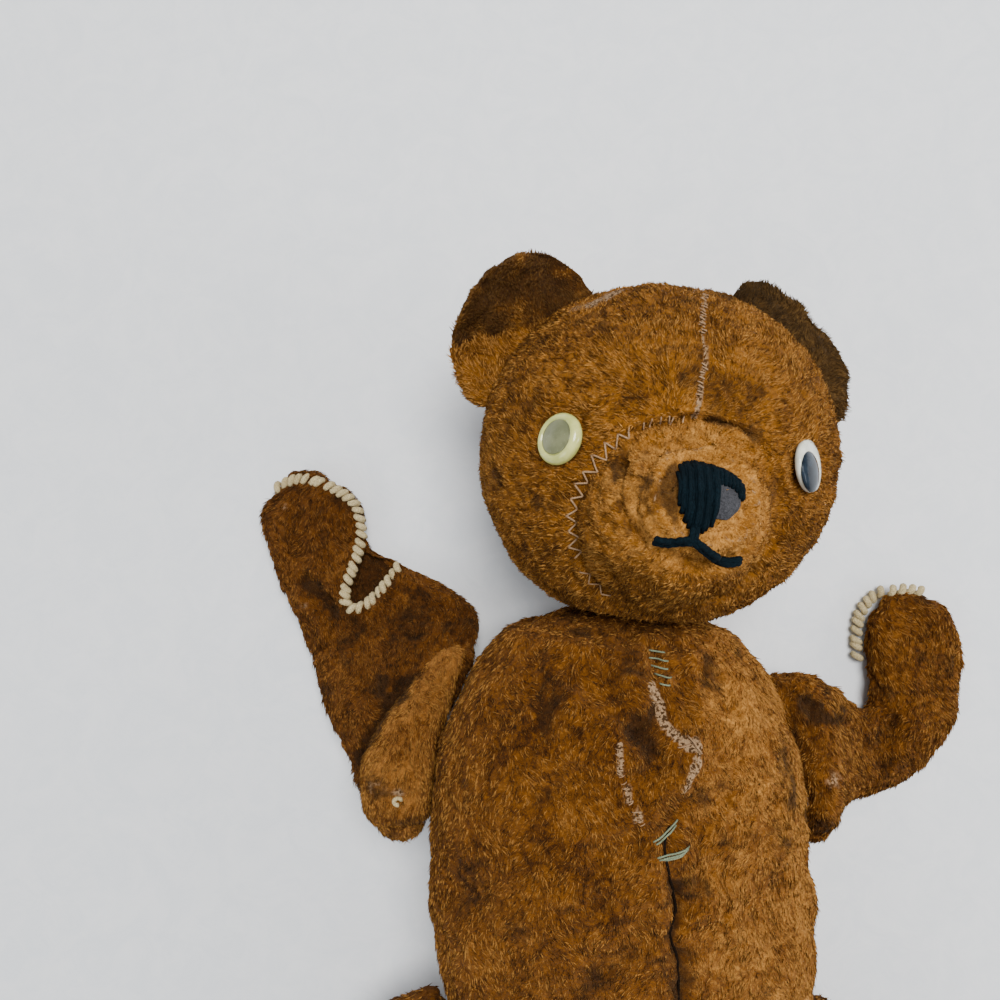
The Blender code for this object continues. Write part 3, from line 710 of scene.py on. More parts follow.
LOW, HIGH = (np.array(corner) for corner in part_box("torso_cover"))
TORSO_WIDE = (HIGH[0] - LOW[0]) / 2
TORSO_TOP = 108 * MM
TORSO_DOWN = -LOW[1] + 1.0 * MM
TORSO_MID_Z = 55 * MM
TORSO_DEEP = HIGH[2] - TORSO_MID_Z
POWER = 2.5
NECK = frame["joints"][0]
NECK_PLACE = np.array(NECK["pos_m"])
NECK_UP = unit(np.array(NECK["axis"], float))
SEAM = trace(np.array([(17, 97), (11, 91), (8, 81), (11, 71), (17, 63), (18.5, 54), (15, 44), (11, 36),
                       (9, 29), (11, 19), (13, 12), (14, 5), (11.5, -2), (14, -10), (15, -23), (14, -50),
                       (12, -85), (8, -112)]) * MM, 4)
BARE_LINES = [
    (trace(np.array([(7.5, 82), (9.5, 76), (12.5, 68), (19, 62.5)]) * MM, 4), 2.6 * MM),
    (trace(np.array([(21.5, 65), (21.5, 60), (18.5, 53), (16, 49)]) * MM, 4), 2.1 * MM),
    (trace(np.array([(-6, 63), (-5.5, 54), (-3, 46), (1.5, 37)]) * MM, 4), 1.8 * MM),
]


def superellipse(angle, power):
    """cos and sin of the angle, each raised to 2/power with its sign kept."""
    c, s = np.cos(angle), np.sin(angle)
    return np.sign(c) * np.abs(c) ** (2 / power), np.sign(s) * np.abs(s) ** (2 / power)


def torso_grid(rows, cols):
    """Section size is (1 - |share along|^2.5)^(1/2.5); share along is the sine of the row's angle."""
    share = np.sin(np.linspace(-math.pi / 2, math.pi / 2, rows))[:, None]
    size = np.maximum(1 - np.abs(share) ** POWER, 0) ** (1 / POWER)
    c, s = superellipse(np.linspace(0, math.tau, cols, endpoint=False)[None, :], POWER)
    y = share * np.where(share > 0, TORSO_TOP, TORSO_DOWN) + 0 * c
    x = TORSO_WIDE * size * c
    z = TORSO_MID_Z + TORSO_DEEP * size * s
    narrow = soft(-10 * MM, -80 * MM, y) * (x < 0)
    x = x * (1 - 0.07 * narrow) + 3 * MM * soft(40 * MM, -30 * MM, y) * (x > 0)
    return outward(np.stack([x, y, z], -1))


def rest_on(points, height=0.4 * MM, ease=5 * MM):
    """Heights under height are pressed up to it; the edge, ease high, is rounded by log(1 + e^x)."""
    z = points[..., 2]
    pressed = height + ease * np.log1p(np.exp((z - height) / (ease * 0.25))) * 0.25
    out = points.copy()
    out[..., 2] = np.where(z < height + ease, np.minimum(pressed, height + ease), z)
    return out


def under_neck(points, gap=0.8 * MM):
    """Keeps the torso below the plane that the head turns on."""
    over = (points - NECK_PLACE) @ NECK_UP + gap
    return points - np.maximum(over, 0)[..., None] * NECK_UP


print("torso half width and depth in mm:", round(TORSO_WIDE / MM, 1), round(TORSO_DEEP / MM, 1))

# %% [markdown]
# ## What has happened to the torso
# Wear and shade are two numbers at each point: bare, where the pile is rubbed away, and grime_and_shade,
# which is dirt where the pile is matted and dark, and painted shade in the seam's valley, the three deepest
# dents and the partings. Both come from distances to a few lines and from noise, so they can be asked for
# anywhere. The relief uses the same lines: a valley at the closing seam, ridges at the rubbed strips, and
# hollows where wadding has gone.

# %% Torso wear and relief
TORSO_DENTS = [(1, 68, 8, 6.6), (7, 60, 7, 5.0), (10, 74, 6, 2.4), (-14, 28, 8, 3.0), (20, 36, 7, 2.0),
               (20, 12, 10, 2.5)]  # x, y, radius and depth in mm
# The pile on the bear's left side is painted lighter, as painted light.
LEFT_SIDE_LIGHT = 0.3


def painted_side_light(points):
    """Painted light: how much lighter the left side's pile is painted, 0 at 5 mm from the middle, rising to
    LEFT_SIDE_LIGHT at 45 mm.
    """
    return LEFT_SIDE_LIGHT * soft(5 * MM, 45 * MM, points[..., 0])


def dent(points, x, y, radius, depth):
    """A rounded hollow: -depth e^(-2 d^2), where d is the distance over x and y in radii."""
    far = np.hypot(points[..., 0] - x * MM, points[..., 1] - y * MM) / (radius * MM)
    return -depth * MM * np.exp(-far * far * 2)


def torso_wear(points):
    """bare from the rubbed strips with ragged edges; grime_and_shade from big blotches of dirt, with painted
    shade in the valley, dents and partings.
    """
    front = points[..., 2] > 60 * MM
    bare = np.zeros(points.shape[:-1])
    for line, width in BARE_LINES:
        far, _ = off_line(points, line)
        ragged = far + 0.9 * MM * noise(points, 2.5 * MM, 3)
        bare = np.maximum(bare, soft(width, width * 0.35, ragged))
    thin = soft(0.55, 0.95, clouds(points, 11 * MM, 41, 2)) * 0.30
    grime_and_shade = soft(0.15, 0.85, clouds(points, 15 * MM, 21, 4)) * 0.62
    far, along = off_line(points, SEAM)
    # Painted shade: crack darkens the lower closing seam's valley, and hollow the three deepest dents, where
    # shade falls in them.
    crack = soft(2.4 * MM, 1.0 * MM, far) * soft(0.36, 0.42, along)
    hollow = -(dent(points, 1, 68, 8, 1.1) + dent(points, 6, 61, 6.5, 1) + dent(points, 9, 74, 5, 1)) / MM
    grime_and_shade = np.maximum(grime_and_shade, np.maximum(crack, hollow * 0.95) * front)
    # Painted shade in the partings between matted clumps.
    grime_and_shade = grime_and_shade + 0.42 * torso_partings(points)
    return np.maximum(bare * front, thin), np.clip(grime_and_shade, 0, 1)


def torso_partings(points):
    """Partings run down the body, but across it low on its right side, where the closing seam pulls."""
    down = np.maximum(partings(points, 4.2 * MM, 401), 0.8 * partings(points, 7 * MM, 411))
    side = np.maximum(partings(points, 4.2 * MM, 421, (0.35, 1.2, 1.0)),
                      0.8 * partings(points, 7 * MM, 431, (0.4, 1, 1)))
    low = soft(45 * MM, 25 * MM, points[..., 1]) * soft(14 * MM, 6 * MM, points[..., 0])
    low = np.clip(low + 0.5 * noise(points, 30 * MM, 441), 0, 1)
    return down * (1 - low) + side * low


def torso_relief(points):
    """How far the cover stands off its form: lumps, sags, pulled threads and the seam's valley."""
    front = soft(60 * MM, 85 * MM, points[..., 2])
    lumps = 1.7 * clouds(points, 32 * MM, 5, 2) + 1.1 * clouds(points, 12 * MM, 6, 2)
    nap = 0.42 * clouds(points * [1.0, 0.6, 1.0], 3.4 * MM, 7, 2)
    far, along = off_line(points, SEAM)
    ragged = far + 0.5 * MM * noise(points, 3 * MM, 8)
    lower = soft(0.36, 0.42, along)
    valley = -(0.9 + 3.1 * lower) * np.exp(-((ragged / (1.5 * MM)) ** 2))
    shoulder = 1.1 * np.exp(-(((far - 6 * MM) / (4 * MM)) ** 2))
    gathers = 0.55 * lower * np.exp(-far / (9 * MM)) * np.sin(along * 210 + 3 * noise(points, 8 * MM, 9))
    dents = sum(dent(points, *place) for place in TORSO_DENTS)
    ridge = 2.2 * np.exp(-((off_line(points, BARE_LINES[1][0])[0] / (2.6 * MM)) ** 2))
    ridge = ridge + 1.6 * np.exp(-((off_line(points, BARE_LINES[0][0])[0] / (3.0 * MM)) ** 2))
    lips = 0.8 * np.exp(-((off_line(points, BARE_LINES[2][0])[0] / (2.2 * MM)) ** 2))
    matted = -0.85 * torso_partings(points)
    return (lumps + nap + matted + front * (valley + shoulder + gathers + ridge + lips)) * MM + dents * front


# %% [markdown]
# ## Making the torso
# The form is drawn in a little, puffed by the cloth simulation while its seam, its flat back and its neck
# are held, and then displaced along its normals by the relief.

# %% Torso
TORSO_ROWS, TORSO_COLS = 251, 300
form = torso_grid(TORSO_ROWS, TORSO_COLS)
seam_far, _ = off_line(form, SEAM)
pinned = (seam_far < 2.2 * MM) & (form[..., 2] > 60 * MM) | (form[..., 2] < 2 * MM) | (form[..., 1] > 99 * MM)
form = puffed(form - normals(form) * 3.0 * MM, pinned, 0.05, 3.5 * MM)
torso_face = under_neck(rest_on(form + normals(form) * torso_relief(form)[..., None]))
torso_bare, torso_grime_and_shade = torso_wear(torso_face)
# The skin's tint is painted lighter on the bear's left side: painted light.
torso = skin("torso_plush", torso_face, FOX, torso_bare, torso_grime_and_shade, TINT + painted_side_light(torso_face))
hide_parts("torso_cover", "torso_stuffing")
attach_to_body(torso, "torso")
print("torso:", len(torso.data.polygons), "faces")

# %% [markdown]
# ## Head
# The head is nearly a ball, with the muzzle let in as a separate cup. Both are ellipsoids, so one skin can
# follow whichever lies further out along each ray from the head's middle, and the place where they change
# over is the muzzle's seam. The grid's pole is put near the nose, where the rows are closest and the detail
# is finest.

# %% Head space
TILT = math.atan2(-NECK_UP[0], NECK_UP[1])
HEAD_X = np.array([math.cos(TILT), math.sin(TILT), 0])
HEAD_AXES = np.stack([HEAD_X, NECK_UP, [0, 0, 1]])
HEAD_CENTRE = NECK_PLACE + NECK_UP * 62 * MM + np.array([0, 0, 4]) * MM
HEAD_RADII = np.array([69, 66.6, 66]) * MM
MUZZLE_CENTRE = np.array([0, -21, 34]) * MM
MUZZLE_RADII = np.array([36, 33, 55]) * MM
NOSE = np.array([3.2, -15])


def to_head(points):
    """Places in the head's own frame, measured from its middle."""
    return (points - HEAD_CENTRE) @ HEAD_AXES.T


def from_head(local):
    """The way back from the head's own frame."""
    return local @ HEAD_AXES + HEAD_CENTRE


def head_reach(rays):
    """Along each ray, where |x/a|^2.1 + |y/b|^2.1 + |z/c|^2.1 is 1."""
    return (np.abs(rays / HEAD_RADII) ** 2.1).sum(-1) ** (-1 / 2.1)


def muzzle_reach(rays):
    """The far root of |t ray - centre| = 1, measured in muzzle radii; 0 where the ray misses."""
    d = rays / MUZZLE_RADII
    c = MUZZLE_CENTRE / MUZZLE_RADII
    dd, dc = (d * d).sum(-1), (d * c).sum(-1)
    inside = dc**2 - dd * ((c * c).sum() - 1)
    return np.where(inside > 0, (dc + np.sqrt(np.maximum(inside, 0))) / dd, 0)


def head_grid(rows, cols):
    """Rays by angle from a pole near the nose; rows are closer near it. Reach is the softened larger one."""
    pole = unit(np.array([0.03, -0.22, 0.97]))
    side = unit(np.cross([0, 1, 0], pole))
    up = np.cross(pole, side)
    s = np.linspace(0, 1, rows)[:, None]
    polar = math.pi * (s - 0.10 * np.sin(math.pi * s) ** 2)
    turn = np.linspace(0, math.tau, cols, endpoint=False)[None, :]
    rays = np.cos(polar)[..., None] * pole + np.sin(polar)[..., None] * (
        np.cos(turn)[..., None] * side + np.sin(turn)[..., None] * up
    )
    ball, snout = head_reach(rays), muzzle_reach(rays)
    blend = 2.2 * MM
    reach = blend * np.logaddexp(ball / blend, snout / blend)
    local = rays * reach[..., None]
    return outward(from_head(local)), np.where(polar < 1.2, (snout - ball), -1.0)


def above_neck(points, gap=0.8 * MM):
    """Keeps the head above the plane that it turns on."""
    under = gap - (points - NECK_PLACE) @ NECK_UP
    return points + np.maximum(under, 0)[..., None] * NECK_UP


# %% [markdown]
# ## What has happened to the face
# The seams and creases are lines in the head's own frame, so the face stays right when the head turns. The
# muzzle's seam shows down one cheek only, pulled tight by repair stitches; the nose sits in a worn ring;
# and arcs of creases run round it where the cloth has been pressed in for years. The creases, the partings
# and the torn hole by the right ear are darkened as painted shade.

# %% Face wear
MUZZLE_SEAM = trace(np.array([(3, 9), (-7, 8), (-17, 4.5), (-27, -5), (-32.5, -16), (-33.3, -27), (-29, -41),
                              (-20, -51), (-13, -56.5)]) * MM, 6)
CROWN_SEAM = trace(np.array([(10, 72), (7, 58), (3.4, 44.4), (3.3, 30.8), (2.2, 20), (1.8, 10)]) * MM, 6)
FACE_BLOTS = [(-20, 14, 10), (-34, 20, 9), (18, 22, 8), (30, 18, 8), (-44, -22, 10), (-52, 8, 9),
              (40, 30, 11), (-8, 30, 7), (20, -44, 6), (-20, -30, 6), (-52, 36, 9), (30, 48, 9)]
EAR_SEAM = trace(np.array([(-60, 44), (-52, 49), (-43, 51), (-33, 51), (-24, 58)]) * MM, 6)


def nose_round(local):
    """1 on the worn ring round the nose, less inside it and more outside."""
    x = (local[..., 0] / MM - NOSE[0]) / 16.3
    y = (local[..., 1] / MM - NOSE[1]) / 14.8
    return np.hypot(x, y), np.arctan2(y, x)


def face_wear(local):
    """bare from the nose's ring, seams and frayed ear; grime_and_shade from clouds and blots of dirt, and
    painted shade in creases, partings and the torn hole.
    """
    front = soft(10 * MM, 30 * MM, local[..., 2])
    ring, turn = nose_round(local)
    ragged = ring + 0.10 * noise(local, 3 * MM, 61)
    rim = np.exp(-(((ragged - 1.0) / 0.05) ** 2)) * front * 0.62
    under = soft(1.0, 0.8, ragged) * soft(-22 * MM, -25 * MM, local[..., 1])
    under = under * soft(2 * MM, 6 * MM, local[..., 0]) * front * 0.4
    crown, _ = off_line(local, CROWN_SEAM)
    thread = soft(1.6 * MM, 0.5 * MM, crown + 0.4 * MM * noise(local, 2 * MM, 62)) * 0.7 * front
    ear, _ = off_line(local, EAR_SEAM)
    frayed = soft(4.0 * MM, 1.2 * MM, ear + 1.8 * MM * noise(local, 3 * MM, 63)) * 0.7 * front
    hole = dent(local, -50.5, 46.5, 2.6, 1) / MM
    bare = np.maximum(np.maximum(rim, under), np.maximum(thread, frayed * (hole > -0.4)))
    grime_and_shade = soft(0.25, 0.85, clouds(local, 15 * MM, 71)) * 0.62
    for x, y, size in FACE_BLOTS:
        blot = -dent(local, x, y, size, 0.62) / MM * soft(-0.7, 0.5, clouds(local, 5 * MM, 72, 3))
        grime_and_shade = np.maximum(grime_and_shade, blot)
    left_of_nose = soft(0.98, 0.88, ring) * soft(-4.5 * MM, -7.0 * MM, local[..., 0]) * 0.9
    # The torn hole by the ear is darkened: painted shade.
    grime_and_shade = np.maximum(grime_and_shade, np.maximum(left_of_nose * front, -hole))
    creases = crease_lines(ring, turn)
    # Painted shade in the partings between matted clumps.
    grime_and_shade = grime_and_shade + 0.36 * face_partings(local)
    # The creases' hollows are darkened: painted shade.
    return bare, np.clip(grime_and_shade + 0.5 * np.maximum(-creases, 0) * front, 0, 1)


def face_partings(local):
    """Short wandering partings, finer on the muzzle than on the cheeks and crown."""
    ring, _ = nose_round(local)
    near = soft(3.0, 1.8, ring)
    wide = np.maximum(partings(local, 4.4 * MM, 501, (1, 0.6, 0.8)),
                      0.7 * partings(local, 8 * MM, 511, (0.7, 1, 1)))
    return wide * (1 - 0.6 * near) + 0.5 * partings(local, 2.6 * MM, 521, (1.1, 0.5, 1)) * near


def crease_lines(ring, turn):
    """Negative in the creases: five broken arcs round the nose, each with a radius, ends and a strength."""
    depth = np.zeros(ring.shape)
    for radius, start, end, strength in ((1.22, 1.5, 3.1, 1.0), (1.32, 0.3, 2.6, 0.7), (1.62, 2.5, 3.9, 0.9),
                                         (1.75, 0.9, 2.4, 0.9), (1.45, -1.9, -0.5, 0.7)):
        reach = np.exp(-(((ring - radius - 0.06 * np.sin(3 * turn)) / 0.075) ** 2))
        here = soft(start - 0.2, start + 0.2, turn) * soft(end + 0.2, end - 0.2, turn)
        here = np.maximum(here, soft(start - 0.2, start + 0.2, turn + math.tau) *
                          soft(end + 0.2, end - 0.2, turn + math.tau))
        depth = depth - strength * reach * here
    return depth


def face_relief(local, muzzle_over):
    """How far the face stands off its form: lumps, seams, the nose's well and creases."""
    front = soft(5 * MM, 30 * MM, local[..., 2])
    ring, turn = nose_round(local)
    lumps = 1.3 * clouds(local, 34 * MM, 51, 2) + 0.8 * clouds(local, 11 * MM, 52, 2)
    nap = 0.36 * clouds(local, 3.2 * MM, 53, 2)
    seam, _ = off_line(local, MUZZLE_SEAM)
    groove = -2.0 * np.exp(-((seam / (1.5 * MM)) ** 2)) * front
    edge = 0.5 * np.exp(-((muzzle_over / (2.5 * MM)) ** 2)) * front
    crown, _ = off_line(local, CROWN_SEAM)
    parting = -0.8 * np.exp(-((crown / (1.1 * MM)) ** 2)) * front
    well = -2.0 * soft(1.04, 0.88, ring) * front + 0.9 * np.exp(-(((ring - 1.05) / 0.09) ** 2)) * front
    creases = 3.6 * crease_lines(ring, turn) * front
    streaks = 0.22 * np.sin(ring * 30 + 4 * noise(local, 9 * MM, 54)) * soft(2.6, 1.3, ring) * front
    socket_right = dent(local, -40.6, -0.6, 9, 2.2)
    socket_left = dent(local, 42.6, -0.8, 9, 1.6)
    hole = dent(local, -50.5, 46.5, 2.4, 4)
    lumps = lumps - 0.75 * face_partings(local)
    return (lumps + nap + groove + edge + parting + well + creases + streaks) * MM + \
        (socket_right + socket_left + hole) * front


# %% [markdown]
# ## Making the head
# The steps are the torso's: draw the form in, puff it with the seam and the nose held, displace it by the
# relief, and keep it above the plane where it turns on the neck.

# %% Head
HEAD_ROWS, HEAD_COLS = 201, 240
form, muzzle_over = head_grid(HEAD_ROWS, HEAD_COLS)
local = to_head(form)
pinned = (off_line(local, MUZZLE_SEAM)[0] < 2 * MM) & (local[..., 2] > 0) | (form[..., 2] < 2 * MM)
pinned |= nose_round(local)[0] * (local[..., 2] > 0) + 9 * (local[..., 2] <= 0) < 1.1
form = puffed(form - normals(form) * 1.9 * MM, pinned, 0.04, 2.2 * MM)
local = to_head(form)
face = form + normals(form) * face_relief(local, muzzle_over)[..., None]
face = above_neck(rest_on(face))
head_bare, head_grime_and_shade = face_wear(to_head(face))
snout_glow = soft(2.3, 1.2, nose_round(to_head(face))[0]) * (to_head(face)[..., 2] > 0)
head = skin("head_plush", face, GOLD, head_bare, head_grime_and_shade, TINT + 0.34 * snout_glow)
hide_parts("head_cover", "head_stuffing", "muzzle_cover", "muzzle_stuffing")
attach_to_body(head, "head")
head_drop = tree_of(head)
print("head:", len(head.data.polygons), "faces; the nose stands", round(face[..., 2].max() / MM), "mm high")


def on_face(places, lift):
    """Head-frame places in mm, dropped onto the face and raised by lift mm."""
    flat = from_head(np.column_stack([np.asarray(places, float) * MM, np.zeros(len(places))]))
    return dropped(head_drop, flat, lift * MM)


# %% [markdown]
# ## Nose and mouth
# A bear's nose is satin stitch: long strands of wool laid side by side over a felt patch. About two
# thirds of it are left here. Each strand is a two-ply tube from its top to its bottom end, dropped onto the
# face and raised in its middle, and the bare felt shows where the others were.

# %% Nose
NOSE_TOPS = [(-6.2, -9.5), (-5.2, -7.2), (-4.0, -6.2), (-2.7, -5.8), (-1.4, -5.6), (-0.1, -5.6), (1.2, -5.8),
             (2.5, -6.0), (3.8, -6.2), (5.1, -6.4), (6.4, -6.7), (7.7, -7.0), (9.0, -7.4), (10.3, -7.9),
             (11.6, -8.6), (12.8, -9.6), (13.7, -10.8)]
NOSE_ENDS = [(-6.0, -19.0), (-5.2, -21.2), (-4.0, -23.6), (-2.8, -25.4), (-1.6, -26.2), (-0.3, -26.4),
             (1.0, -26.2), (2.3, -25.6), (3.5, -24.2), (4.4, -21.0), (6.2, -11.8), (7.6, -11.9), (9.0, -12.0),
             (10.4, -12.3), (11.8, -13.2), (13.0, -15.0), (13.9, -15.6)]


def strand(a, b, radius, lift, steps=14, plies=2, turns=3.0):
    """A strand from a to b on the face, bowed up in its middle."""
    t = np.linspace(0, 1, steps)[:, None]
    flat = np.array(a) * (1 - t) + np.array(b) * t
    path = on_face(flat, lift)
    path[:, 2] = np.maximum(path[:, 2], np.linspace(path[0, 2], path[-1, 2], steps))
    path[:, 2] += 0.7 * MM * np.sin(math.pi * t[:, 0])
    path[0, 2] -= 1.2 * MM
    path[-1, 2] -= 1.2 * MM
    return tube(path, radius * MM, 8, plies, turns, 0.16)


rng = np.random.default_rng(12)
strands = [strand(a, b, rng.uniform(0.74, 0.95), 0.9 + 0.35 * (k % 2)) for k, (a, b) in
           enumerate(zip(NOSE_TOPS, NOSE_ENDS))]
strands += [strand((a[0] + 0.6, a[1] + 0.2), (b[0] + 0.3, b[1] - 0.3), 0.7, 1.7)
            for a, b in list(zip(NOSE_TOPS, NOSE_ENDS))[2:9:2]]
strands += [strand((-1.6, -24.5), (-2.2, -29.0), 0.95, 0.8), strand((-0.2, -24.8), (-0.9, -29.2), 0.95, 0.9)]
nose = join_grids("nose_stitches", strands, INK)
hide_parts("nose_stitching", "philtrum_strand")
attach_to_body(nose, "head")


def felt_patch(centre, wide, high, thick=1.0, lift=0.9, seed=5):
    """A thin worn disc on the face. Its edge wanders with noise."""
    turn = np.linspace(0, math.tau, 40, endpoint=False)
    size = np.array([0.0, 0.5, 0.85, 0.97, 1.0, 0.96, 0.5, 0.0])[:, None]
    ragged = 1 + 0.08 * noise(np.stack([np.cos(turn), np.sin(turn), 0 * turn], -1), 0.35, seed)
    x = centre[0] + wide * size * ragged * np.cos(turn)
    y = centre[1] + high * size * ragged * np.sin(turn)
    base = on_face(np.column_stack([x.ravel(), y.ravel()]), lift).reshape(8, 40, 3)
    base[..., 2] += np.array([-1, -1, -1, -0.8, -0.3, 0, 0.35, 0.4])[:, None] * thick * MM
    return outward(base)


patch = join_grids("nose_felt", [felt_patch((5.8, -15.2), 8.0, 7.2)], FELT)
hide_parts("nose_patch")
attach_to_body(patch, "head")

# %% [markdown]
# ## Mouth
# Two doubled strands of the same wool leave the bottom of the nose, one each way. Each is a yarn laid on
# the face along a few points, with as many twists as its length asks for.

# %% Mouth


def yarn_line(points, radius, lift, plies=2, pitch=2.6):
    """Yarn laid on the face through points, sunk at its ends, one twist to each pitch mm."""
    path = on_face(trace(points, 7), lift)
    path[0, 2] -= 0.8 * MM
    path[-1, 2] -= 0.8 * MM
    length = np.linalg.norm(np.diff(path, axis=0), axis=1).sum() / MM
    return tube(path, radius * MM, 9, plies, length / pitch, 0.2)


mouth_left = [(-11.6, -30.0), (-8.2, -30.2), (-4.8, -29.4), (-1.4, -28.8)]
mouth_right = [(-2.2, -28.4), (2.4, -31.0), (7.0, -33.2), (11.8, -34.4), (16.2, -33.6)]
mouth = join_grids("mouth_yarn", [
    yarn_line(mouth_left, 1.15, 0.9), yarn_line([(x, y - 1.1) for x, y in mouth_left], 1.0, 0.8),
    yarn_line(mouth_right, 1.2, 0.9), yarn_line([(x + 0.3, y - 1.15) for x, y in mouth_right], 1.05, 0.8),
], INK)
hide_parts("mouth_strand")
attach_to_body(mouth, "head")
print("nose and mouth:", len(nose.data.polygons) + len(mouth.data.polygons), "faces")

# %% [markdown]
# ## Eyes
# The eyes don't match. The right one is a shallow moulded button with a raised rim. The left is a nearly
# flat white disc with a large loose pupil that has slipped down and inwards. Both are profiles turned
# about their axes, and their places come from the frame's own eye pieces.

# %% Eyes
def turned(profile, centre, axis, cols=64, twist=(0, 0)):
    """A profile of (radius, height) pairs turned about axis; twist moves it sideways and up."""
    profile = np.asarray(profile, float)
    side = unit(np.cross([0, 1, 0.2], axis))
    up = np.cross(axis, side)
    turn = np.linspace(0, math.tau, cols, endpoint=False)
    ring = np.cos(turn)[:, None] * side + np.sin(turn)[:, None] * up
    shift = twist[0] * side + twist[1] * up
    return outward(centre + shift + profile[:, 0, None, None] * ring + profile[:, 1, None, None] * axis)


def eye_axis(side, degrees, rise):
    """Each eye looks out to its own side and a little towards the crown."""
    tilt = math.radians(degrees) * side
    return unit(np.array([math.sin(tilt), rise, math.cos(tilt)]) @ HEAD_AXES)


def eye_seat(side):
    """The middle of the frame's own eye on that side."""
    low, high = (np.array(c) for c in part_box("eye_button_right" if side < 0 else "eye_button_left"))
    return (low + high) / 2


def eye(name, profile, seat, axis, material, node, twist=(0, 0)):
    """One turned part of an eye. node is the frame's piece it stands for, if any."""
    thing = join_grids(name, [turned(np.array(profile) * MM, seat, axis, twist=twist)], material)
    if node:
        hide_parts(node)
    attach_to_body(thing, "head")
    return thing


axis_right, axis_left = eye_axis(-1, 47, 0.14), eye_axis(1, 46, 0.15)
seat_right = eye_seat(-1) + axis_right * 0.4 * MM + HEAD_X * 2.6 * MM
seat_left = eye_seat(1) + HEAD_X * 0.4 * MM
RIM = [(0, -2.6), (6.0, -2.6), (8.2, -1.6), (8.9, -0.4), (9.0, 0.4), (8.9, 1.3), (8.4, 2.2), (7.6, 2.9),
       (6.8, 3.05), (6.35, 2.7), (6.1, 2.1), (0, 2.1)]
DISH = [(0, 1.7), (6.25, 1.8), (6.3, 2.25), (5.9, 2.42), (4.5, 2.55), (2.5, 2.75), (0, 2.85)]
WHITE = [(0, -2.0), (7.4, -2.0), (8.7, -1.3), (9.0, -0.4), (8.95, 0.2), (8.6, 0.65), (7.6, 0.85), (5.0, 0.95),
         (2.0, 1.0), (0, 1.0)]
PUPIL = [(0, 0.2), (6.5, 0.3), (6.9, 0.7), (6.8, 1.15), (6.2, 1.5), (4.4, 1.85), (2.2, 2.05), (0, 2.1)]
eye("right_eye_rim", RIM, seat_right, axis_right, LIME, "eye_button_right")
# The dish's darker colour is a painted dark reflection.
eye("right_eye_dish", DISH, seat_right, axis_right, DISH_DARK_REFLECTION, None, (-0.35 * MM, 0.5 * MM))
eye("left_eye_white", WHITE, seat_left, axis_left, CHINA, "eye_button_left")
eye("left_eye_pupil", PUPIL, seat_left, axis_left, JET, "eye_pupil_left", (-2.3 * MM, -1.8 * MM))
print("eyes at", np.round(seat_right / MM), np.round(seat_left / MM))

# %% [markdown]
# ## Ears
# An ear is two half-moons of plush sewn together and caught down along its straight side. As a sheet
# carried from root to rim it needs a width, a thickness and a cup at each step. The right ear curls
# forward at its rim and its upper half is nearly black; the left one leans back.

# %% Swept forms


def swept(stations, rows, cols, power=2.2, cup=0.0, end=5):
    """Sections carried along stations of (centre, across, deep): centre + across cos + deep sin.

    cos and sin are squared off by power, and cup times (cos^2 - 1) of deep is added. Each end closes over
    end rows: a quarter turn that shrinks the section and moves it on by its smaller half size.
    """
    stations = np.array(stations, float)
    t = np.linspace(0, len(stations) - 1, rows - 2 * end)
    smooth = trace(stations.reshape(len(stations), 9), 24)
    body = np.stack([np.interp(t * 24, np.arange(len(smooth)), smooth[:, k]) for k in range(9)], -1)
    centre, across, deep = body[:, :3], body[:, 3:6], body[:, 6:]
    parts = []
    for first in (True, False):
        k = 0 if first else -1
        way = unit(centre[0] - centre[2]) if first else unit(centre[-1] - centre[-3])
        reach = min(np.linalg.norm(across[k]), np.linalg.norm(deep[k]))
        turn = np.linspace(0, math.pi / 2, end + 1)[1:]
        turn = turn[::-1] if first else turn
        c, s = np.cos(turn)[:, None], np.sin(turn)[:, None]
        parts.append((centre[k] + way * reach * s, across[k] * c, deep[k] * c))
    start, finish = parts
    centre, across, deep = (np.vstack([start[k], m, finish[k]]) for k, m in enumerate((centre, across, deep)))
    c, s = superellipse(np.linspace(0, math.tau, cols, endpoint=False), power)
    shape = centre[:, None] + across[:, None] * c[:, None] + deep[:, None] * (s + cup * (c * c - 1))[:, None]
    return outward(shape)


def ear_stations(turn, reach, lean, wide, curl):
    """An ear's stations from root to rim, turned about the view axis, leaning back and curling forward."""
    a = math.radians(turn)
    out = np.array([-math.sin(a), math.cos(a), 0]) @ HEAD_AXES
    along = np.array([math.cos(a), math.sin(a), 0]) @ HEAD_AXES
    up = np.array([0, 0, 1.0])
    lean = math.radians(lean)
    root = HEAD_CENTRE + out * 0.90 * 69 * MM + up * 6 * MM
    stations = []
    for v in np.linspace(0, 1, 9):
        width = wide * MM * (1 - (0.97 * v) ** 2.4) ** 0.5 * (0.93 + 0.07 * math.sin(math.pi * v))
        bend = lean + math.radians(curl) * (v - 0.4)
        way = out * math.cos(bend) + up * math.sin(bend)
        face_way = up * math.cos(bend) - out * math.sin(bend)
        stations.append((root + way * reach * MM * v, along * width, face_way * 3.2 * MM * (1 - 0.35 * v)))
    return stations


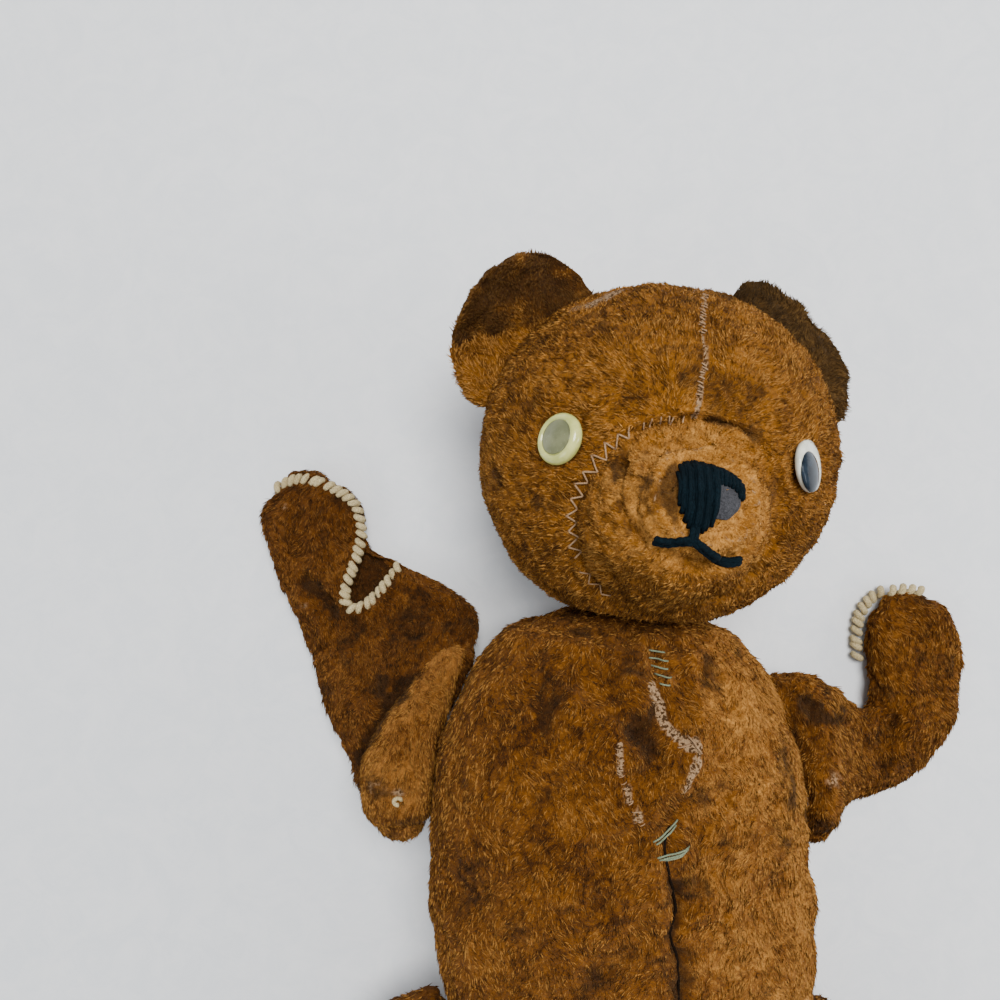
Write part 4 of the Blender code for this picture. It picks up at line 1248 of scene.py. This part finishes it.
def ear_shape(name, stations, material, node_names, seed, dark):
    """An ear swept along stations and crumpled by noise; dark gives its grime from head places."""
    grid = swept(stations, 66, 90, 2.4, cup=1.1, end=4)
    lumps = 1.1 * clouds(grid, 14 * MM, seed, 2) + 0.5 * clouds(grid, 5 * MM, seed + 3, 2)
    crumple = 1.3 * noise(grid * [1.0, 2.2, 1.0], 12 * MM, seed + 5)
    grid = grid + normals(grid) * (lumps + crumple)[..., None] * MM
    local = to_head(grid)
    grime_and_shade = np.clip(dark(local) + 0.35 * clouds(grid, 8 * MM, seed + 7, 2), 0, 1)
    bare = soft(0.55, 0.9, clouds(grid, 7 * MM, seed + 8, 2)) * 0.3
    ear = skin(name, grid, material, bare, grime_and_shade)
    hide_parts(*node_names)
    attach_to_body(ear, "head")
    return ear, grid, grime_and_shade


def right_dark(local):
    """The turned-back upper half is nearly black, down to a ragged fold line."""
    line = (local[..., 1] - 43 * MM) - 0.42 * (local[..., 0] + 60 * MM)
    return 0.95 * soft(-1.5 * MM, 2.5 * MM, line + 1.5 * MM * noise(local, 4 * MM, 31))


def left_dark(local):
    """Darkest in the middle, lighter at the two ends."""
    far = np.abs((local[..., 0] + local[..., 1]) * 0.7 - 70 * MM)
    return 0.55 - 0.2 * soft(12 * MM, 26 * MM, far)


EAR_R = ear_shape("ear_right", ear_stations(52, 37, 10, 33.5, 46), GOLD,
                  ("ear_front_right", "ear_back_right"), 81, right_dark)
EAR_L = ear_shape("ear_left", ear_stations(-47, 30, -14, 34, -20), OLIVE,
                  ("ear_front_left", "ear_back_left"), 91, left_dark)
print("ears:", len(EAR_R[0].data.polygons) + len(EAR_L[0].data.polygons), "faces")

# %% [markdown]
# ## Arms
# Both arms have lost most of their wadding. Each is a broad flat sleeve that lies where it falls, with a
# firmer pad over the shoulder's disc laid on its top end. The sleeve is swept along rows that give its two
# edges, and the pad is swept along its own short line. The right paw's front layer stops at a yarn edge,
# and the back layer shows in the notch behind it.

# %% Arm stations
RIGHT_ROWS = [
    (-3, (-105, 9), (-94, 17), 5), (4, (-111, 9), (-92, 22), 6), (14, (-115, 9), (-88, 28), 7),
    (26, (-119, 9), (-86, 30), 7.5), (40, (-127, 9), (-79, 35), 8), (50, (-131, 9), (-75.5, 34), 8),
    (60, (-135, 9), (-69.5, 31), 8), (70, (-138, 9), (-64.5, 27), 8), (81, (-141.5, 9), (-61, 21), 8),
    (97, (-147, 9), (-60.5, 13), 8.2), (110, (-154, 9), (-77, 10), 8.4),
    (121, (-158, 9), (-97, 9.5), 8.5), (130, (-161, 9), (-112, 9), 8.5), (142, (-163, 9), (-114, 9), 8.4),
    (153, (-158, 9), (-120, 9), 7.6), (159, (-151, 9), (-132, 9), 5.5),
]
LEFT_PATH = [
    (77, 49, 34, 0, 22, 9), (84, 42, 33, 0, 31, 13), (92, 39, 30, 0, 33, 14), (101, 36, 24, 0, 31.5, 13),
    (111, 33.5, 17, 0, 28, 11.5), (122, 31, 11, 4, 23.5, 9.7), (133, 32, 10, 20, 20, 9.2),
    (143, 38, 10, 46, 19, 9.2), (149, 49, 10, 75, 20, 9.2), (151, 64, 10, 92, 21.5, 9.2),
    (150, 80, 10, 96, 22.5, 9), (147, 94, 10, 100, 18, 8), (146, 100, 10, 100, 11, 6),
]
RIGHT_PAD = [
    (12, -91.5, 42, 11, 13), (16, -91.5, 43, 14.8, 17), (25, -91.5, 44, 16.4, 18.2),
    (38, -90.5, 44, 16.2, 17), (50, -87.5, 39, 14, 13), (61, -81.5, 34, 11.5, 9.5),
    (71, -75.5, 29, 8.5, 6.5), (78, -71, 25, 5.5, 4.5),
]
LEFT_PAD = [
    (10, 86.5, 43, 6, 12), (15, 87, 44, 8.5, 16), (24, 87, 45, 9.5, 17.8), (37, 88.5, 43, 10.5, 16),
    (50, 91, 37, 10.5, 13), (62, 92, 30, 8, 9),
]
PAW_EDGE = trace(np.array([(-156, 154.5), (-151, 158), (-142.4, 160), (-133, 158), (-124, 153.5),
                           (-117, 147), (-114.6, 136), (-116, 123), (-119.5, 113), (-121.3, 105),
                           (-119.5, 99.3), (-114.5, 99), (-108.4, 103), (-101, 111.5),
                           (-95.8, 119.5)]) * MM, 10)
NOTCH = np.array([(-114.5, 126), (-116.5, 122), (-121, 106), (-118.5, 98.8), (-108.4, 102), (-100, 112),
                  (-95, 121.5), (-98, 130), (-108, 130)]) * MM


def right_sleeve():
    """Stations midway between each row's edges; across is half their gap, deep square to it."""
    stations = []
    for y, low, high, half in RIGHT_ROWS:
        low, high = np.array([low[0], y, low[1]]), np.array([high[0], y, high[1]])
        across = (high - low) / 2
        deep = unit(np.cross(across, [0, 1, 0])) * half
        stations.append(((low + high) / 2 * MM, across * MM, deep * MM))
    return stations


def left_sleeve():
    """Stations along the path, each turned to its heading."""
    stations = []
    for x, y, z, heading, wide, half in LEFT_PATH:
        a = math.radians(heading)
        across = np.array([-math.sin(a), math.cos(a), 0]) * wide
        stations.append((np.array([x, y, z]) * MM, across * MM, np.array([0, 0, half]) * MM))
    return stations


def pad_stations(rows):
    """Level stations from rows of (y, x, z, half width, half depth) in mm."""
    return [(np.array([x, y, z]) * MM, np.array([w, 0, 0]) * MM, np.array([0, 0, d]) * MM)
            for y, x, z, w, d in rows]


def within(points, corners):
    """1 where a point lies inside the polygon, by counting the edges to its right."""
    x, y = points[..., 0], points[..., 1]
    odd = np.zeros(x.shape, bool)
    for (ax, ay), (bx, by) in zip(corners, np.roll(corners, -1, 0)):
        crosses = (ay > y) != (by > y)
        at = ax + (y - ay) / (by - ay if by != ay else 1) * (bx - ax)
        odd ^= crosses & (x < at)
    return odd.astype(float)


# %% [markdown]
# ## How the arms have worn, and where shade is painted
# Each arm has a few long soft folds, given as lines with a depth and a width in mm, and a few bald or dark
# patches. Noise fills in the rest. The folds' hollows, the partings and some dark patches are painted shade.

# %% Arm relief and wear
RIGHT_FOLDS = [
    (trace(np.array([(-146, 115), (-137, 110), (-130, 103), (-125, 92)]) * MM, 6), 3.6, 3.0),
    (trace(np.array([(-150, 106), (-141, 102), (-134, 93), (-129, 80)]) * MM, 6), -2.2, 3.0),
    (trace(np.array([(-118, 22), (-110, 38), (-99, 56), (-86, 72)]) * MM, 6), 3.6, 3.5),
    (trace(np.array([(-112, 66), (-104, 60), (-97, 52)]) * MM, 6), 1.6, 5.0),
]
LEFT_FOLDS = [
    (trace(np.array([(80, 64), (92, 57), (102, 52), (118, 45)]) * MM, 6), 3.0, 3.2),
    (trace(np.array([(84, 44), (98, 40), (112, 34)]) * MM, 6), -2.4, 3.5),
    (trace(np.array([(120, 30), (134, 40), (140, 50)]) * MM, 6), 2.6, 4.0),
    (trace(np.array([(132, 20), (146, 34)]) * MM, 6), -1.6, 4.0),
]


def folds(points, lines):
    """Each fold is a hollow, or a ridge where its depth is negative: -depth e^-(d/width)^2 off its line."""
    total = 0
    for line, depth, width in lines:
        far, along = off_line(points, line)
        taper = soft(0, 0.18, along) * soft(1, 0.82, along)
        total = total - depth * taper * np.exp(-((far / (width * MM)) ** 2))
    return total


def arm_relief(points, lines, seed):
    """Lumps, partings, nap and folds, in mm."""
    lumps = 1.4 * clouds(points, 24 * MM, seed, 2) + 0.7 * clouds(points, 9 * MM, seed + 2, 2)
    lumps = lumps - 0.7 * partings(points, 4.5 * MM, seed + 60, (1, 0.7, 1))
    return lumps + 0.35 * clouds(points, 3 * MM, seed + 4, 2) + folds(points, lines)


def arm_wear(points, seed, patches, lines):
    """bare and grime_and_shade from noise and patches of (x, y, size, kind); partings and the folds' hollows
    get painted shade.
    """
    bare = soft(0.6, 0.95, clouds(points, 7 * MM, seed, 2)) * 0.35
    grime_and_shade = soft(0.15, 0.8, clouds(points, 15 * MM, seed + 1)) * 0.7
    for x, y, size, kind in patches:
        spot = -dent(points, x, y, size, 1.0) / MM * soft(-0.7, 0.3, noise(points, 3 * MM, seed + 2))
        if kind == "bare":
            bare = np.maximum(bare, spot * 0.7)
        else:
            grime_and_shade = np.maximum(grime_and_shade, spot)
    # Painted shade: the partings between matted clumps, and below it the folds' hollows.
    grime_and_shade = grime_and_shade + 0.34 * partings(points, 4.5 * MM, seed + 10, (1, 0.7, 1))
    return bare, np.clip(grime_and_shade - 0.22 * folds(points, lines), 0, 1)


# The dark patches along the wrist's fold, (-137, 109) and (-128, 98), and under the raised shoulder end,
# (-95, 8), are painted shade.
RIGHT_PATCHES = [(-150, 147, 4, "bare"), (-137, 109, 8, "dark"), (-128, 98, 7, "dark"), (-99, 32, 9, "bare"),
                 (-95, 8, 5, "dark"), (-102, 66, 8, "dark"), (-90, 29, 6, "bare"), (-141, 101, 5, "bare")]
# On the left arm, (96, 62) and (108, 55) darken the upper arm's top as painted shade.
LEFT_PATCHES = [(96, 62, 12, "dark"), (108, 55, 8, "dark"), (90, 34, 8, "bare"), (134, 24, 8, "dark")]

# %% [markdown]
# ## Making the arms
# The sleeve is puffed only slightly, since little is left inside it, and the pad over the shoulder's disc
# is a second closed skin in the same mesh. On the right arm the front layer is cut away in the paw's notch,
# where the back layer is darkened as painted shade, and the pad has a dimple where the pin draws it in, with
# seven small puckers round it.

# %% Arms
DIMPLE = (-90.5, 25.5)  # x and y in mm


def make_arm(side, sleeve, pad, lines, patches, seed):
    """One arm, a sleeve and its pad in one mesh, with the skins, wear and painted shade the pile needs."""
    sheet = swept(sleeve, 161, 120, 2.6)
    flat = (sheet[..., 2] < 3 * MM) | (np.abs(sheet[..., 0]) < 92 * MM) & (sheet[..., 1] < 60 * MM)
    sheet = puffed(sheet - normals(sheet) * 0.5 * MM, flat, 0.03, 1.6 * MM)
    sheet = sheet + normals(sheet) * arm_relief(sheet, lines, seed)[..., None] * MM
    if side == "right":
        cut = within(sheet, NOTCH) * soft(10 * MM, 12 * MM, sheet[..., 2])
        sheet[..., 2] -= cut * 7.5 * MM
    else:
        cut = np.zeros(sheet.shape[:2])
    cap = swept(pad, 81, 90, 2.2)
    cap = cap + normals(cap) * (arm_relief(cap, [], seed + 30) * 0.7)[..., None] * MM
    if side == "right":
        cap[..., 2] += dent(cap, *DIMPLE, 5.5, 3.2) * soft(40 * MM, 50 * MM, cap[..., 2])
        pucker = np.arctan2(cap[..., 1] - DIMPLE[1] * MM, cap[..., 0] - DIMPLE[0] * MM)
        cap[..., 2] += (0.5 * MM * np.sin(7 * pucker) * -dent(cap, *DIMPLE, 8, 1) / MM
                        * (cap[..., 2] > 45 * MM))
    sheet, cap = rest_on(sheet), rest_on(cap)
    wears = [arm_wear(grid, seed + 50, patches, lines) for grid in (sheet, cap)]
    # The notch's back layer gets painted shade.
    wears[0] = (wears[0][0], np.maximum(wears[0][1], cut * 0.8))
    arm = join_grids("arm_" + side + "_plush", [sheet, cap], UMBER if side == "right" else FOX)
    for k, key in enumerate(("bare", "grime_and_shade")):
        attach(arm, key, np.concatenate([flat_points(w[k][..., None])[:, 0] for w in wears]))
    # The right pad's lighter tint is a painted highlight on its dome.
    cap_tint_and_highlight = 0.72 if side == "right" else 0.3
    tints = [np.full(len(flat_points(grid)), value) for grid, value in ((sheet, 0.32), (cap, cap_tint_and_highlight))]
    attach(arm, "tint", np.concatenate(tints))
    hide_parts("arm_cover_" + side, "arm_stuffing_" + side)
    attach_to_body(arm, "arm_" + side)
    return arm, [(sheet, *wears[0]), (cap, *wears[1])]


ARM_R = make_arm("right", right_sleeve(), pad_stations(RIGHT_PAD), RIGHT_FOLDS, RIGHT_PATCHES, 101)
ARM_L = make_arm("left", left_sleeve(), pad_stations(LEFT_PAD), LEFT_FOLDS, LEFT_PATCHES, 131)
print("arms:", len(ARM_R[0].data.polygons), len(ARM_L[0].data.polygons), "faces")

# %% [markdown]
# ## Yarn edging and the shoulder's knot
# The paws' open ends were overcast with thick yarn: each stitch is a short fat two-ply tube that starts on
# the front, rolls over the edge and goes down behind it, leaning along the edge. A row of them reads as a
# rope. The knot in the shoulder's dimple is one short fat strand curled on itself.

# %% Edging


def overcast(edge, drop_tree, pitch, radius, roll, slant, seed, floor_z):
    """Stitches at every pitch along edge: half rings of radius roll across it, sheared along it by slant."""
    rng = np.random.default_rng(seed)
    length = np.concatenate([[0], np.cumsum(np.linalg.norm(np.diff(edge[:, :2], axis=0), axis=1))])
    count = int(length[-1] / pitch)
    places = (np.arange(count) + 0.5) * length[-1] / count + rng.uniform(-0.2, 0.2, count) * pitch
    grids = []
    for s in places:
        x, y = (np.interp(s, length, edge[:, k]) for k in (0, 1))
        dx, dy = (np.interp(s + 1 * MM, length, edge[:, k]) - np.interp(s - 1 * MM, length, edge[:, k])
                  for k in (0, 1))
        way = unit(np.array([dx, dy, 0]))
        out = np.array([-way[1], way[0], 0])
        top = dropped(drop_tree, [(x, y) - out[:2] * 1.6 * MM], 0)[0]
        middle = np.array([x, y, max(top[2] - roll * 0.75, floor_z + roll + radius)])
        turn = np.linspace(-0.15, 1.25, 9) * math.pi
        size = roll * rng.uniform(0.92, 1.08)
        path = middle - out * np.cos(turn)[:, None] * size * 1.15
        path = path + np.array([0, 0, 1]) * np.sin(turn)[:, None] * size
        path = path + way * np.linspace(-0.5, 0.5, 9)[:, None] * slant
        grids.append(tube(path, radius * np.array([0.7, 0.95, 1, 1, 1, 1, 1, 0.95, 0.7]), 8, 3, 1.4, 0.14))
    return grids


arm_drop = tree_of(ARM_R[0])
EDGING = {"pitch": 3.7 * MM, "radius": 1.65 * MM, "roll": 1.35 * MM, "slant": 3.4 * MM, "floor_z": 0.5 * MM}
right_edging = join_grids("right_paw_edging", overcast(PAW_EDGE, arm_drop, seed=7, **EDGING), CREAM)
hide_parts("paw_edging_right")
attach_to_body(right_edging, "arm_right")

LEFT_EDGE = trace(np.array([(126.5, 72), (126, 84), (128, 95), (135, 103.5), (145, 107),
                            (155, 106)]) * MM, 10)
left_edging = join_grids("left_paw_edging", overcast(LEFT_EDGE, tree_of(ARM_L[0]), seed=8, **EDGING), CREAM)
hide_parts("paw_edging_left")
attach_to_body(left_edging, "arm_left")

seat = dropped(arm_drop, [(-90.3 * MM, 25.5 * MM)], 0)[0]
curl = np.linspace(0, 1.6 * math.pi, 18)
knot_path = seat + np.stack([1.5 * np.cos(curl), 1.1 * np.sin(curl), 0.5 + 0.45 * curl], -1) * MM
knot = join_grids("shoulder_knot", [tube(knot_path, 0.95 * MM, 8, 2, 2.0, 0.2)], CREAM)
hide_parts("shoulder_knot_right")
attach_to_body(knot, "arm_right")
print("edging stitches:", len(right_edging.data.polygons) // 80)

# %% [markdown]
# ## Legs
# The legs are plain firm tubes with long upturned feet, made in the same way as the sleeves. The soles are
# felt, let in at the ends, with a ring of stitches.

# %% Legs
LEG_ROWS = [
    (-66, 80.5, 49, 6, 9), (-72, 84, 49, 14, 18), (-80, 86.4, 48.5, 18.5, 24), (-92, 87, 48, 22, 27),
    (-112, 87.5, 46, 24, 28.6), (-145, 88.5, 41, 24, 27.6), (-178, 89.5, 34, 21.6, 25.6),
    (-198, 90.5, 31, 19.8, 24.6), (-213, 91, 38, 20.8, 32.5), (-226, 91.5, 45, 22.6, 41.5),
    (-237, 91.5, 47, 23.5, 45.5),
]


def make_leg(side):
    """One leg swept along LEG_ROWS, puffed, creased at the ankle and cut off flat at the sole."""
    sign = -1 if side == "right" else 1
    stations = [(np.array([sign * x, y, z]) * MM, np.array([w, 0, 0]) * MM, np.array([0, 0, d]) * MM)
                for y, x, z, w, d in LEG_ROWS]
    leg = swept(stations, 121, 100, 2.3)
    held = (leg[..., 2] < 3 * MM) | (leg[..., 1] < -232 * MM) | (leg[..., 1] > -72 * MM)
    leg = puffed(leg - normals(leg) * 0.8 * MM, held, 0.03, 2 * MM)
    seed = 171 if side == "right" else 191
    lumps = 1.5 * clouds(leg, 30 * MM, seed, 2) + 0.7 * clouds(leg, 10 * MM, seed + 1, 2)
    lumps = lumps + 0.3 * noise(leg, 3 * MM, 7)
    ankle = np.exp(-(((leg[..., 1] + 200 * MM) / (5 * MM)) ** 2))
    crease = -2.0 * ankle * soft(30 * MM, 55 * MM, leg[..., 2])
    leg = leg + normals(leg) * (lumps + crease)[..., None] * MM
    leg[..., 1] = np.maximum(leg[..., 1], -243.4 * MM)
    leg = rest_on(leg)
    bare, grime_and_shade = arm_wear(leg, seed + 5, [], [])
    thing = skin("leg_" + side + "_plush", leg, FOX, bare, grime_and_shade)
    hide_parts("leg_cover_" + side, "leg_stuffing_" + side)
    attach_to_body(thing, "leg_" + side)
    return thing, leg, bare, grime_and_shade


def make_sole(side):
    """A felt pad in the sole: an oval in x and z, domed by (1 - size^2), with ticks of thread round it."""
    low, high = (np.array(c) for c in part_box("foot_pad_" + side))
    middle, half = (low + high) / 2, (high - low) / 2
    size = np.array([0, 0.3, 0.6, 0.85, 0.97, 1, 0.95, 0.5, 0])[:, None]
    push = np.array([-1.1, -1.05, -0.9, -0.65, -0.3, 0.2, 1.0, 1.2, 1.2])[:, None]
    c, s = superellipse(np.linspace(0, math.tau, 72, endpoint=False), 2.2)
    grid = np.stack([middle[0] + half[0] * size * c, middle[1] + push * half[1] + 0 * c,
                     middle[2] + half[2] * size * s], -1)
    sole = skin("sole_" + side, outward(grid), PAD)
    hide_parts("foot_pad_" + side)
    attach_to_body(sole, "leg_" + side)
    angle = np.linspace(0, math.tau, 44, endpoint=False)
    ticks = []
    for c, s in zip(*superellipse(angle, 2.2)):
        rim = middle + np.array([half[0] * c, -half[1] * 0.6, half[2] * s]) * 0.985
        inner = middle + np.array([half[0] * c * 0.9, -half[1] * 1.25, half[2] * s * 0.9])
        lift = np.array([0, 0.5 * MM, 0])
        path = np.array([rim + lift, rim * 0.5 + inner * 0.5 - lift, inner])
        ticks.append(tube(path, 0.35 * MM, 6))
    thread = join_grids("sole_stitches_" + side, ticks, TAN)
    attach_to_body(thread, "leg_" + side)


LEG_R, LEG_L = make_leg("right"), make_leg("left")
make_sole("right")
make_sole("left")
print("legs reach", round(float(LEG_R[1][..., 1].min()) / MM), "mm")

# %% [markdown]
# ## Joint discs and pins
# The hidden discs and pins keep the frame's own shapes. They only need the look of pressed board and of
# dull steel wire.

# %% Discs and pins
hidden = {name: node for name, node in frame["nodes"].items() if "disc" in name or "pin" in name}
for name, node in hidden.items():
    node.data.materials.clear()
    node.data.materials.append(STEEL if "pin" in name else BOARD)
print("carried over:", len(hidden), "discs and pins")

# %% [markdown]
# ## Repair stitches
# Mending thread is the palest thing on the bear after the yarn. Every stitch is a short tube that dips at
# both ends, laid across its seam. On the forehead they make a fine ladder, beside the muzzle a wide zigzag,
# and on the chest a few long green ones.

# %% Stitches


def stitch(a, b, tree, radius, lift, bow=0.35):
    """One stitch from a to b: a line dropped on the cloth, bowed up in the middle and sunk at its ends."""
    t = np.linspace(0, 1, 7)[:, None]
    path = dropped(tree, np.array(a) * (1 - t) + np.array(b) * t, lift * MM)
    path[:, 2] += bow * MM * np.sin(math.pi * t[:, 0])
    path[0, 2] -= 0.6 * MM
    path[-1, 2] -= 0.6 * MM
    return tube(path, radius * MM, 6)


def ladder(line, pitch, reach, tree, radius, lift, seed, zigzag=False):
    """Stitches across line at every pitch. With zigzag each starts where the last ended."""
    rng = np.random.default_rng(seed)
    length = np.concatenate([[0], np.cumsum(np.linalg.norm(np.diff(line, axis=0), axis=1))])
    places = np.arange(pitch / 2, length[-1], pitch)
    x, y = (np.interp(places, length, line[:, k]) for k in (0, 1))
    way = unit(np.stack([np.gradient(x), np.gradient(y)], -1))
    out = np.stack([-way[:, 1], way[:, 0]], -1) * reach / 2
    middle = np.stack([x, y], -1) + rng.normal(0, 0.12, (len(x), 2)) * reach
    if zigzag:
        ends = middle + out * np.where(np.arange(len(x)) % 2, 1, -1)[:, None]
        return [stitch(a, b, tree, radius, lift) for a, b in zip(ends, ends[1:])]
    slant = way * rng.uniform(-0.1, 0.45, (len(x), 1)) * reach
    return [stitch(m - o, m + o + s, tree, radius, lift) for m, o, s in zip(middle, out, slant)]


def on_view(line):
    """A head-frame line in metres as places seen from above."""
    line = np.asarray(line)
    return from_head(np.column_stack([line, np.zeros(len(line))]))[:, :2]


crown_upper = on_view(CROWN_SEAM[5:15])
crown_lower = on_view(CROWN_SEAM[19:27])
cheek = on_view(MUZZLE_SEAM[12:37])
face_stitches = join_grids("face_stitches", [
    *ladder(crown_upper, 1.45 * MM, 2.3 * MM, head_drop, 0.27, 0.35, 3),
    *ladder(crown_lower, 1.6 * MM, 1.9 * MM, head_drop, 0.25, 0.35, 4),
    *ladder(cheek, 2.5 * MM, 3.9 * MM, head_drop, 0.33, 0.45, 5, zigzag=True),
    *ladder(on_view(MUZZLE_SEAM[2:12]), 2.6 * MM, 2.6 * MM, head_drop, 0.28, 0.4, 6),
    *ladder(on_view(MUZZLE_SEAM[37:48]), 3.0 * MM, 2.6 * MM, head_drop, 0.26, 0.35, 8, zigzag=True),
], TAN)
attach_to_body(face_stitches, "head")

torso_drop = tree_of(torso)
GREEN_ENDS = [((8.2, 93.5), (14.0, 92.6)), ((7.8, 91.0), (14.4, 90.2)), ((8.4, 88.4), (14.2, 87.4)),
              ((9.2, 85.8), (14.8, 85.0)), ((10.2, 83.2), (13.9, 82.6)), ((5.0, 31.9), (14.3, 37.7)),
              ((6.0, 31.0), (13.6, 36.2)), ((6.3, 26.7), (17.8, 29.9)), ((7.0, 25.8), (17.2, 29.0)),
              ((8.4, 25.6), (15.8, 28.0))]
green = join_grids("chest_stitches", [
    stitch(np.array(a) * MM, np.array(b) * MM, torso_drop, 0.34, 0.75, 0.8) for a, b in GREEN_ENDS
], GREEN)
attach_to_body(green, "torso")
PALE_ENDS = [((19.8, 65.2), (22.8, 61.0)), ((18.6, 66.4), (20.8, 64.4)), ((15, 62.4), (19.2, 63.9))]
pale = join_grids("chest_thread", [
    *[stitch(np.array(a) * MM, np.array(b) * MM, torso_drop, 0.3, 0.9, 0.6) for a, b in PALE_ENDS],
    *ladder(BARE_LINES[2][0][:, :2], 1.7 * MM, 2.2 * MM, torso_drop, 0.18, 0.25, 9),
], TAN)
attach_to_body(pale, "torso")
# The closing seam's thread in its valley is near black: partly the dark thread, partly painted shade of the
# gap.
closing = dropped(torso_drop, SEAM[28:], 0.15 * MM)
closing_seam = join_grids("closing_seam", [tube(closing, 0.5 * MM, 7, 2, 40, 0.15)], SEAM_THREAD_AND_SHADE)
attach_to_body(closing_seam, "torso")
print("stitches:", len(face_stitches.data.polygons), "faces on the face")

# %% [markdown]
# ## Planting the pile
# Each cover gets tufts in proportion to its area, most of them where the bear can be seen from the front,
# and none where its cloth is bare. The nap runs down the body and the limbs, and on the face it runs away
# from the nose.

# %% Pile
TUFT_LENGTH, TUFT_WIDTH, TUFT_LEAN = 3.1 * MM, 0.5 * MM, 0.26  # the lean is in radians


def pile(name, body, count, grid, bare, grime_and_shade, material, base, seed, brighter=0.0):
    """Tufts over one skin. base gives the nap's direction, and a swirl turns it by up to 1 radian."""
    front = 0.45 + 0.55 * soft(-0.5, 0.4, normals(grid)[..., 2])
    weight = front * soft(0.55, 0.25, bare) * (grid[..., 2] > 0.8 * MM)
    if name == "torso_pile":
        far, along = off_line(grid, SEAM)
        weight = weight * np.maximum(soft(1.4 * MM, 3.0 * MM, far), (along < 0.37) | (grid[..., 2] < 50 * MM))
    roots, up, (grime_and_shade_there, bare_there) = scatter(grid, (grime_and_shade, bare), count, weight, seed)
    flow = swirl(roots, base(roots), 1.0, 13 * MM, seed + 1)
    size = TUFT_LENGTH * (1 - 0.4 * grime_and_shade_there) * (1 + 0.25 * noise(roots, 9 * MM, seed + 2))
    snout = side_light = 0.0
    # The torso's tufts on the bear's left side are painted lighter, as painted light.
    if name == "torso_pile":
        side_light = painted_side_light(roots)
    if name == "head_pile":
        snout = soft(2.4, 1.1, nose_round(to_head(roots))[0]) * (to_head(roots)[..., 2] > 0)
        size = size * (1 - 0.6 * snout)
    tufts = plant(name, roots, up, flow, size, TUFT_WIDTH, TUFT_LEAN, material, seed + 3, grime_and_shade_there,
                  bare_there * 0.6, brighter + side_light + 0.27 * snout)
    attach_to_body(tufts, body)
    return tufts


def down(points):
    """The nap of the body and limbs, towards the feet."""
    return np.broadcast_to(np.array([0.1, -1.0, 0.0]), points.shape)


def from_nose(points):
    """Away from the nose, across and back, in the row frame."""
    local = to_head(points)
    away = local - np.array([NOSE[0] * MM, NOSE[1] * MM, 85 * MM])
    return unit(away) @ HEAD_AXES


def ear_outward(points):
    """The nap of the ears, away from the head's middle."""
    return unit(points - HEAD_CENTRE)


PILES = [
    ("torso_pile", "torso", 40000, torso_face, torso_bare, torso_grime_and_shade, FOX, down, 301),
    ("head_pile", "head", 40000, face, head_bare, head_grime_and_shade, GOLD, from_nose, 311),
    ("ear_right_pile", "head", 5000, EAR_R[1], EAR_R[2] * 0, EAR_R[2], GOLD, ear_outward, 321, 0.25),
    ("ear_left_pile", "head", 4500, EAR_L[1], EAR_L[2] * 0, EAR_L[2], OLIVE, ear_outward, 331),
    ("arm_right_pile", "arm_right", 13000, *ARM_R[1][0], UMBER, down, 341),
    # The right pad's pile is lighter, as a painted highlight on the dome.
    ("arm_right_pad_pile", "arm_right", 4500, *ARM_R[1][1], FOX, down, 351, 0.3),
    ("arm_left_pile", "arm_left", 10000, *ARM_L[1][0], FOX, down, 361),
    ("arm_left_pad_pile", "arm_left", 3000, *ARM_L[1][1], FOX, down, 371),
    ("leg_right_pile", "leg_right", 7500, *LEG_R[1:], FOX, down, 381),
    ("leg_left_pile", "leg_left", 7500, *LEG_L[1:], FOX, down, 391),
]
made = [pile(*row) for row in PILES]
print("tufts:", sum(len(tufts.data.polygons) for tufts in made) // 4)

# %% [markdown]
# ## Floor and sizes
# The bear lies on a pale table. The box of the frame and the box of the finished bear are measured, and
# how far the bear reaches past the frame is printed.

# %% Finish
corners = [(-3, -3, 0), (3, -3, 0), (3, 3, 0), (-3, 3, 0)]
tabletop = make_mesh("tabletop", corners, [np.array([[0, 1, 2, 3]])], PALE)
tabletop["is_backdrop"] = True
visual_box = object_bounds()
growth = [[round((a - b) / MM, 1) for a, b in zip(*pair)] for pair in zip(visual_box, cad_box)]
print("grown by in mm:", growth)
